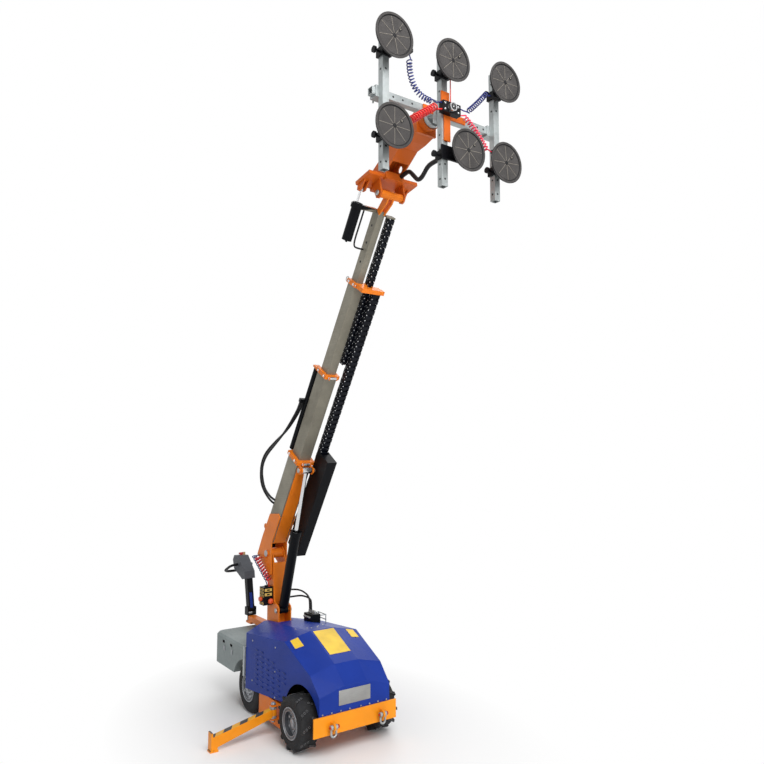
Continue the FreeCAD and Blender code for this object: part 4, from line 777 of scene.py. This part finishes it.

# Dark discs of painted shade in the holes along the uprights, the cross bar and the third stage
HOLE = [(0, 0.0075), (0.0006, 0.0075)]
UPRIGHT_X, UPRIGHT_HALF = 1.321, 0.0249
CLAMP_HEIGHTS = (4.862, 4.285)
for body, y in (("left_bar", -0.5), ("yoke", 0.0), ("right_bar", 0.5)):
    holes = bmesh.new()
    for number in range(9):
        z = 4.115 + 0.105 * number
        if abs(z - SLEW_Z) < 0.09 or any(abs(z - clamp) < 0.040 for clamp in CLAMP_HEIGHTS):
            continue
        lathe(holes, HOLE, (UPRIGHT_X, y - UPRIGHT_HALF, z), left, 20)
        lathe(holes, HOLE, (UPRIGHT_X, y + UPRIGHT_HALF, z), right, 20)
        if body != "yoke" or abs(z - 4.58) > 0.2:
            lathe(holes, HOLE, (UPRIGHT_X + UPRIGHT_HALF, y, z), front, 20)
    if body == "yoke":
        for across in (-0.40, -0.32, -0.24, 0.28, 0.36, 0.42):
            lathe(holes, HOLE, (1.2899, across, SLEW_Z), front, 20)
    piece("upright_hole_shade_" + body, holes, m_hole_shade, body)
holes = bmesh.new()
for u in (2.86, 3.02, 3.16):
    lathe(holes, [(0, 0.010), (0.0006, 0.010)], boom(u, -0.0289, 0.080), left, 20)
    lathe(holes, [(0, 0.010), (0.0006, 0.010)], boom(u, 0.0289, 0.080), right, 20)
piece("stage_hole_shade", holes, m_hole_shade, "stage_3")

# Rollers, ears and bolts on the collars
collars = (("boom", 1.007, 0.0885, -0.026, 0.178), ("stage_1", 1.857, 0.069, -0.007, 0.161),
           ("stage_2", 2.677, 0.055, 0.008, 0.146))
for body, u, half, low, high in collars:
    bright = bmesh.new()
    ears = bmesh.new()
    if body != "stage_2":
        lathe(bright, [(0, 0.0115), (0.064, 0.0115)], boom(u, -0.032, low - 0.012), (0, 1, 0), 24)
        for y in (-0.040, 0.033):
            block(ears, (u - 0.014, y, low - 0.026), (u + 0.014, y + 0.007, low + 0.001), BOOM, 0.002)
            bolt(bright, boom(u, y if y < 0 else y + 0.007, low - 0.012), (0, -1 if y < 0 else 1, 0), 0.007, 0.005)
    else:
        for y in (-0.046, 0.041):
            bolt(bright, boom(u, y, low), -square, 0.006, 0.004)
    for side in (-1, 1):
        for w in (low + (0.055 if body == "boom" else 0.030), high - 0.030):
            bolt(bright, boom(u, side * half, w), (0, side, 0), 0.008, 0.006)
    for y in (-0.83 * half, 0.83 * half):
        bolt(bright, boom(u, y, high), square, 0.007, 0.005)
    piece("collar_bolts_" + body, bright, m_chrome, body)
    if ears.verts:
        piece("collar_ears_" + body, ears, m_orange, body)
    else:
        ears.free()

# Pin heads on the main pivot, the lift cylinder and the tilt joint
pins = bmesh.new()
for side in (-1, 1):
    profile = [(0, 0.030), (0.004, 0.030), (0.007, 0.026), (0.007, 0.010)]
    lathe(pins, profile, (pivot.x, side * 0.0955, pivot.z), (0, side, 0), 32)
    lathe(pins, [(0, 0.022), (0.004, 0.022), (0.006, 0.018)], (-0.960, side * 0.0725, 0.810), (0, side, 0), 28)
    for turn in range(4):
        angle = math.radians(45 + 90 * turn)
        spot = (pivot.x + 0.019 * math.cos(angle), side * 0.1022, pivot.z + 0.019 * math.sin(angle))
        bolt(pins, spot, (0, side, 0), 0.0035, 0.002)
piece("tower_pin_heads", pins, m_steel, "chassis")
pins = bmesh.new()
for side in (-1, 1):
    lathe(pins, [(0, 0.021), (0.004, 0.021), (0.006, 0.017)], boom(0.965, side * 0.0763, -0.065), (0, side, 0), 28)
piece("ram_pin_heads", pins, m_steel, "boom")
pins = bmesh.new()
for side in (-1, 1):
    lathe(pins, [(0, 0.022), (0.004, 0.022), (0.007, 0.017)], boom(3.423, side * 0.1218, 0.0), (0, side, 0), 28)
piece("tilt_pin_heads", pins, m_steel, "stage_3")

# Leg hinges: bright collars, pin nuts and sleeves round the knuckles
HINGE_X, HINGE_Y = -0.345, 0.395
hinges = bmesh.new()
for side in (-1, 1):
    for z in (0.2441, 0.1158):
        way = (0, 0, 1 if z > 0.2 else -1)
        seat = (HINGE_X, side * HINGE_Y, z - 0.003 * way[2])
        lathe(hinges, [(0, 0.021), (0.004, 0.021), (0.005, 0.018)], seat, way, 24)
        lathe(hinges, [(0, 0.0155), (0.010, 0.0155), (0.0112, 0.0135)], (HINGE_X, side * HINGE_Y, z), way, 6)
    for x in (-0.385, -0.305):
        for z in (0.205, 0.155):
            bolt(hinges, (x, side * 0.350, z), (0, side, 0), 0.008, 0.007)
piece("leg_hinges", hinges, m_rim, "chassis")
sleeve_profile = [(0, 0.0274), (0.001, 0.0282), (0.0200, 0.0282), (0.021, 0.0274)]
for body, side in (("leg_right", -1), ("leg_left", 1)):
    sleeve = bmesh.new()
    for z in (0.1345, 0.2050):
        lathe(sleeve, sleeve_profile, (HINGE_X, side * HINGE_Y, z), (0, 0, 1), 32)
    piece("hinge_sleeve_" + body, sleeve, m_rim, body)

# Wheels: bright lips, painted shade on the flanges and in the hand holes, nuts, sidewall ridges and worn studs on the
# lugs
LUGS = 11
stud_profile = [(-0.001, 0.0058), (0.0009, 0.0062), (0.0009, 0.0086), (-0.001, 0.0090)]
for word, (x, y, side, disc, flange) in wheels.items():
    way = (0, side, 0)
    lips, painted_rim_shade, walls, studs = (bmesh.new() for _ in range(4))
    face = Vector((x, y + side * flange, WHEEL_Z))
    profile = [(-0.001, 0.1085), (0.003, 0.1095), (0.0042, 0.1125), (0.003, 0.1155), (-0.001, 0.1165)]
    hoop(lips, profile, face, way, 64)
    hoop(lips, [(-0.001, 0.0875), (0.0012, 0.0880), (0.0012, 0.0900), (-0.001, 0.0905)], face, way, 64)
    # Dark ring on the flange face: painted shade where the barrel turns inward
    hoop(painted_rim_shade, [(-0.001, 0.0905), (0.0007, 0.0907), (0.0007, 0.1080), (-0.001, 0.1082)], face, way, 64)
    middle = Vector((x, y + side * disc, WHEEL_Z))
    for number in range(5):
        angle = 2 * math.pi * number / 5
        spot = Vector((0.056 * math.cos(angle), side * 0.0085, 0.056 * math.sin(angle)))
        lathe(lips, [(0, 0.0105), (0.006, 0.0105), (0.0072, 0.0088)], middle + spot, way, 6)
        angle += math.pi / 5
        spot = Vector((0.067 * math.cos(angle), -side * 0.0003, 0.067 * math.sin(angle)))
        # Dark disc: painted shade in a hand hole
        lathe(painted_rim_shade, [(0, 0.0125), (0.0008, 0.0125)], middle + spot, way, 24)
    cap = middle + Vector((0, side * 0.0137, 0))
    lathe(lips, [(0, 0.027), (0.003, 0.027), (0.006, 0.022), (0.0075, 0.010)], cap, way, 32)
    half = 0.082 if word.startswith("front") else 0.047
    wall = Vector((x, y + side * half, WHEEL_Z))
    for radius in (0.1350, 0.1560):
        ridge = [(-0.003, radius - 0.002), (0.0012, radius - 0.001), (0.0012, radius + 0.001), (-0.003, radius + 0.002)]
        hoop(walls, ridge, wall, way, 72)
    if word.startswith("front"):
        for number in range(LUGS):
            for flank in (1, -1):
                turn = Matrix.Rotation(math.radians(360 / LUGS * (number + 0.25 * (flank + 1))), 4, "Y")
                for share in (0.2, 0.52, 0.84):
                    spot = turn @ Vector((0.038 * share, side * flank * (0.004 + 0.074 * share), 0.1987))
                    hoop(studs, stud_profile, Vector((x, y, WHEEL_Z)) + spot, turn @ Vector((0, 0, 1)), 14)
    piece("rim_lips_" + word, lips, m_rim, "wheel_" + word)
    piece("rim_shades_" + word, painted_rim_shade, m_rim_shade, "wheel_" + word)
    piece("wall_ridges_" + word, walls, m_tyre, "wheel_" + word)
    if studs.verts:
        piece("lug_studs_" + word, studs, m_stud, "wheel_" + word)
    else:
        studs.free()

# Control box: bare yellow tiles, dark keys and an orange knob
tiles, keys, knob = bmesh.new(), bmesh.new(), bmesh.new()
for x in (-1.100, -1.054):
    for z in (0.990, 0.962, 0.934, 0.868):
        block(tiles, (x - 0.017, -0.1618, z - 0.010), (x + 0.017, -0.1595, z + 0.010), None, 0.0008)
        block(keys, (x - 0.006, -0.1632, z - 0.005), (x + 0.006, -0.1612, z + 0.005), None, 0.0008)
for z in (0.985, 0.945):
    block(tiles, (-1.0355, -0.150, z - 0.013), (-1.0330, -0.078, z + 0.013), None, 0.0008)
    block(keys, (-1.0335, -0.128, z - 0.006), (-1.0315, -0.100, z + 0.006), None, 0.0008)
profile = [(0, 0.016), (0.010, 0.016), (0.014, 0.024), (0.024, 0.026), (0.032, 0.021), (0.036, 0.010)]
lathe(knob, profile, (-1.0355, -0.098, 0.887), front, 28)
piece("control_tiles", tiles, m_tile, "chassis")
piece("control_keys", keys, m_plastic, "chassis")
piece("control_knob", knob, m_knob, "chassis")

# Blue strip on the tiller's column
strip = bmesh.new()
block(strip, (0.0240, -0.014, -0.282), (0.0318, 0.014, -0.135), HEAD, 0.002)
piece("column_strip", strip, m_blue, "tiller")

# Wire guard beside the valve block and fittings on it
WIRE = 0.0042
guard, fittings = bmesh.new(), bmesh.new()
for x in (-0.825, -0.695):
    lathe(guard, [(0, WIRE), (0.062, WIRE)], (x, 0.2345, 0.778), (0, 1, 0), 12)
    lathe(guard, [(0, WIRE), (0.078, WIRE)], (x, 0.2945, 0.704), (0, 0, 1), 12)
for z in (0.778, 0.735):
    lathe(guard, [(0, WIRE), (0.138, WIRE)], (-0.829, 0.2945, z), front, 12)
for shift in (-0.045, -0.015, 0.015, 0.045):
    lathe(fittings, [(0, 0.0135), (0.007, 0.0135), (0.008, 0.0120)], (VALVE_X + shift, 0.190, 0.7918), (0, 0, 1), 6)
    lathe(fittings, [(0, 0.0085), (0.016, 0.0085), (0.018, 0.0065)], (VALVE_X + shift, 0.1452, 0.768), (0, -1, 0), 16)
for shift in (0.015, 0.045):
    dome(fittings, (VALVE_X + shift, 0.190, 0.8178), (0, 0, 1), 0.0105, 0.006)
piece("valve_guard", guard, m_bar, "chassis")
piece("valve_fittings", fittings, m_steel, "chassis")

# Dark cover at the back of the boom's foot, between the cheeks: it stands for the dark parts there and for the shade
# between them, so it is partly painted shade
cover = bmesh.new()
block(cover, (-0.136, -0.0723, 0.146), (0.050, 0.0723, 0.151), BOOM, 0.001)
for u in (-0.115, -0.043, 0.030):
    for y in (-0.060, 0.060):
        dome(cover, boom(u, y, 0.1508), square, 0.006, 0.003)
piece("foot_cover_and_shade", cover, m_plastic, "boom")

# Ring at the second stage's collar
ring = bmesh.new()
angles = [math.radians(45 * k) for k in range(8)]
circle = [(0.0035 * math.sin(angle), 0.020 + 0.0035 * math.cos(angle)) for angle in angles]
hoop(ring, circle, boom(2.677, -0.040, 0.166), (0, 1, 0), 28)
block(ring, (2.667, -0.0435, 0.1455), (2.687, -0.0365, 0.1520), BOOM, 0.001)
piece("collar_ring", ring, m_steel, "stage_2")

# Floor, light and world
ground = bmesh.new()
for x, y in ((-60, -60), (60, -60), (60, 60), (-60, 60)):
    ground.verts.new((x, y, -0.0005))
ground.faces.new(ground.verts)
floor_data = bpy.data.meshes.new("floor")
ground.to_mesh(floor_data)
ground.free()
floor = bpy.data.objects.new("floor", floor_data)
scene.collection.objects.link(floor)
f = Nodes("floor_white")
soft = f.spread(f.noise(0.6, 2), 0.3, 0.7)
floor_data.materials.append(f.done(f.mix(soft, (0.88, 0.88, 0.88), (0.91, 0.91, 0.91)), 0.8, None, 0, 0, 0.1))
# The far floor is plain white to the camera and in reflections, and the near floor keeps the shadow
away = f.node("VectorMath", operation="LENGTH")
f.link(f.mapped((0, 0, 0), (0.42, 0.62, 0), (0.12, 0, 0)), away.inputs[0])
far = f.spread(away.outputs["Value"], 0.42, 1.0)
path = f.node("LightPath")
shine = f.math("MAXIMUM", path.outputs["Is Glossy Ray"], path.outputs["Is Transmission Ray"])
seen = f.math("MAXIMUM", path.outputs["Is Camera Ray"], shine)
plain = f.node("Emission")
plain.inputs["Color"].default_value = (1, 1, 1, 1)
plain.inputs["Strength"].default_value = 1.0
both = f.node("MixShader")
f.link(f.math("MULTIPLY", seen, far), both.inputs["Fac"])
f.link(f.shader.outputs["BSDF"], both.inputs[1])
f.link(plain.outputs["Emission"], both.inputs[2])
f.link(both.outputs["Shader"], f.tree.nodes["Material Output"].inputs["Surface"])

world = bpy.data.worlds.new("world")
scene.world = world
world.use_nodes = True
tree = world.node_tree
# Soft light on the part, and plain white where the world itself is seen or mirrored
ambient, white = tree.nodes["Background"], tree.nodes.new("ShaderNodeBackground")
for shader, strength in ((ambient, 0.36), (white, 1.0)):
    shader.inputs["Color"].default_value = (1, 1, 1, 1)
    shader.inputs["Strength"].default_value = strength
rays = tree.nodes.new("ShaderNodeLightPath")
seen = tree.nodes.new("ShaderNodeMath")
seen.operation = "MAXIMUM"
tree.links.new(rays.outputs["Is Camera Ray"], seen.inputs[0])
tree.links.new(rays.outputs["Is Transmission Ray"], seen.inputs[1])
shine = tree.nodes.new("ShaderNodeMath")
shine.operation = "MAXIMUM"
tree.links.new(seen.outputs["Value"], shine.inputs[0])
tree.links.new(rays.outputs["Is Glossy Ray"], shine.inputs[1])
either = tree.nodes.new("ShaderNodeMixShader")
tree.links.new(shine.outputs["Value"], either.inputs["Fac"])
tree.links.new(ambient.outputs["Background"], either.inputs[1])
tree.links.new(white.outputs["Background"], either.inputs[2])
tree.links.new(either.outputs["Shader"], tree.nodes["World Output"].inputs["Surface"])


def lamp(name, place, target, size, power):
    data = bpy.data.lights.new(name, "AREA")
    data.shape = "SQUARE"
    data.size = size
    data.energy = power
    made = bpy.data.objects.new(name, data)
    made.location = place
    made.rotation_euler = (Vector(target) - Vector(place)).to_track_quat("-Z", "Y").to_euler()
    scene.collection.objects.link(made)


lamp("key", (5.5, -1.0, 7.5), (0, 0, 1.8), 5.0, 530)
lamp("front", (9.0, 1.0, 2.2), (0, 0, 1.6), 5.0, 190)
lamp("fill", (2.0, -8.0, 3.0), (0, 0, 1.8), 5.0, 40)
lamp("back", (-6.0, 5.0, 7.0), (0, 0, 2.0), 5.0, 240)
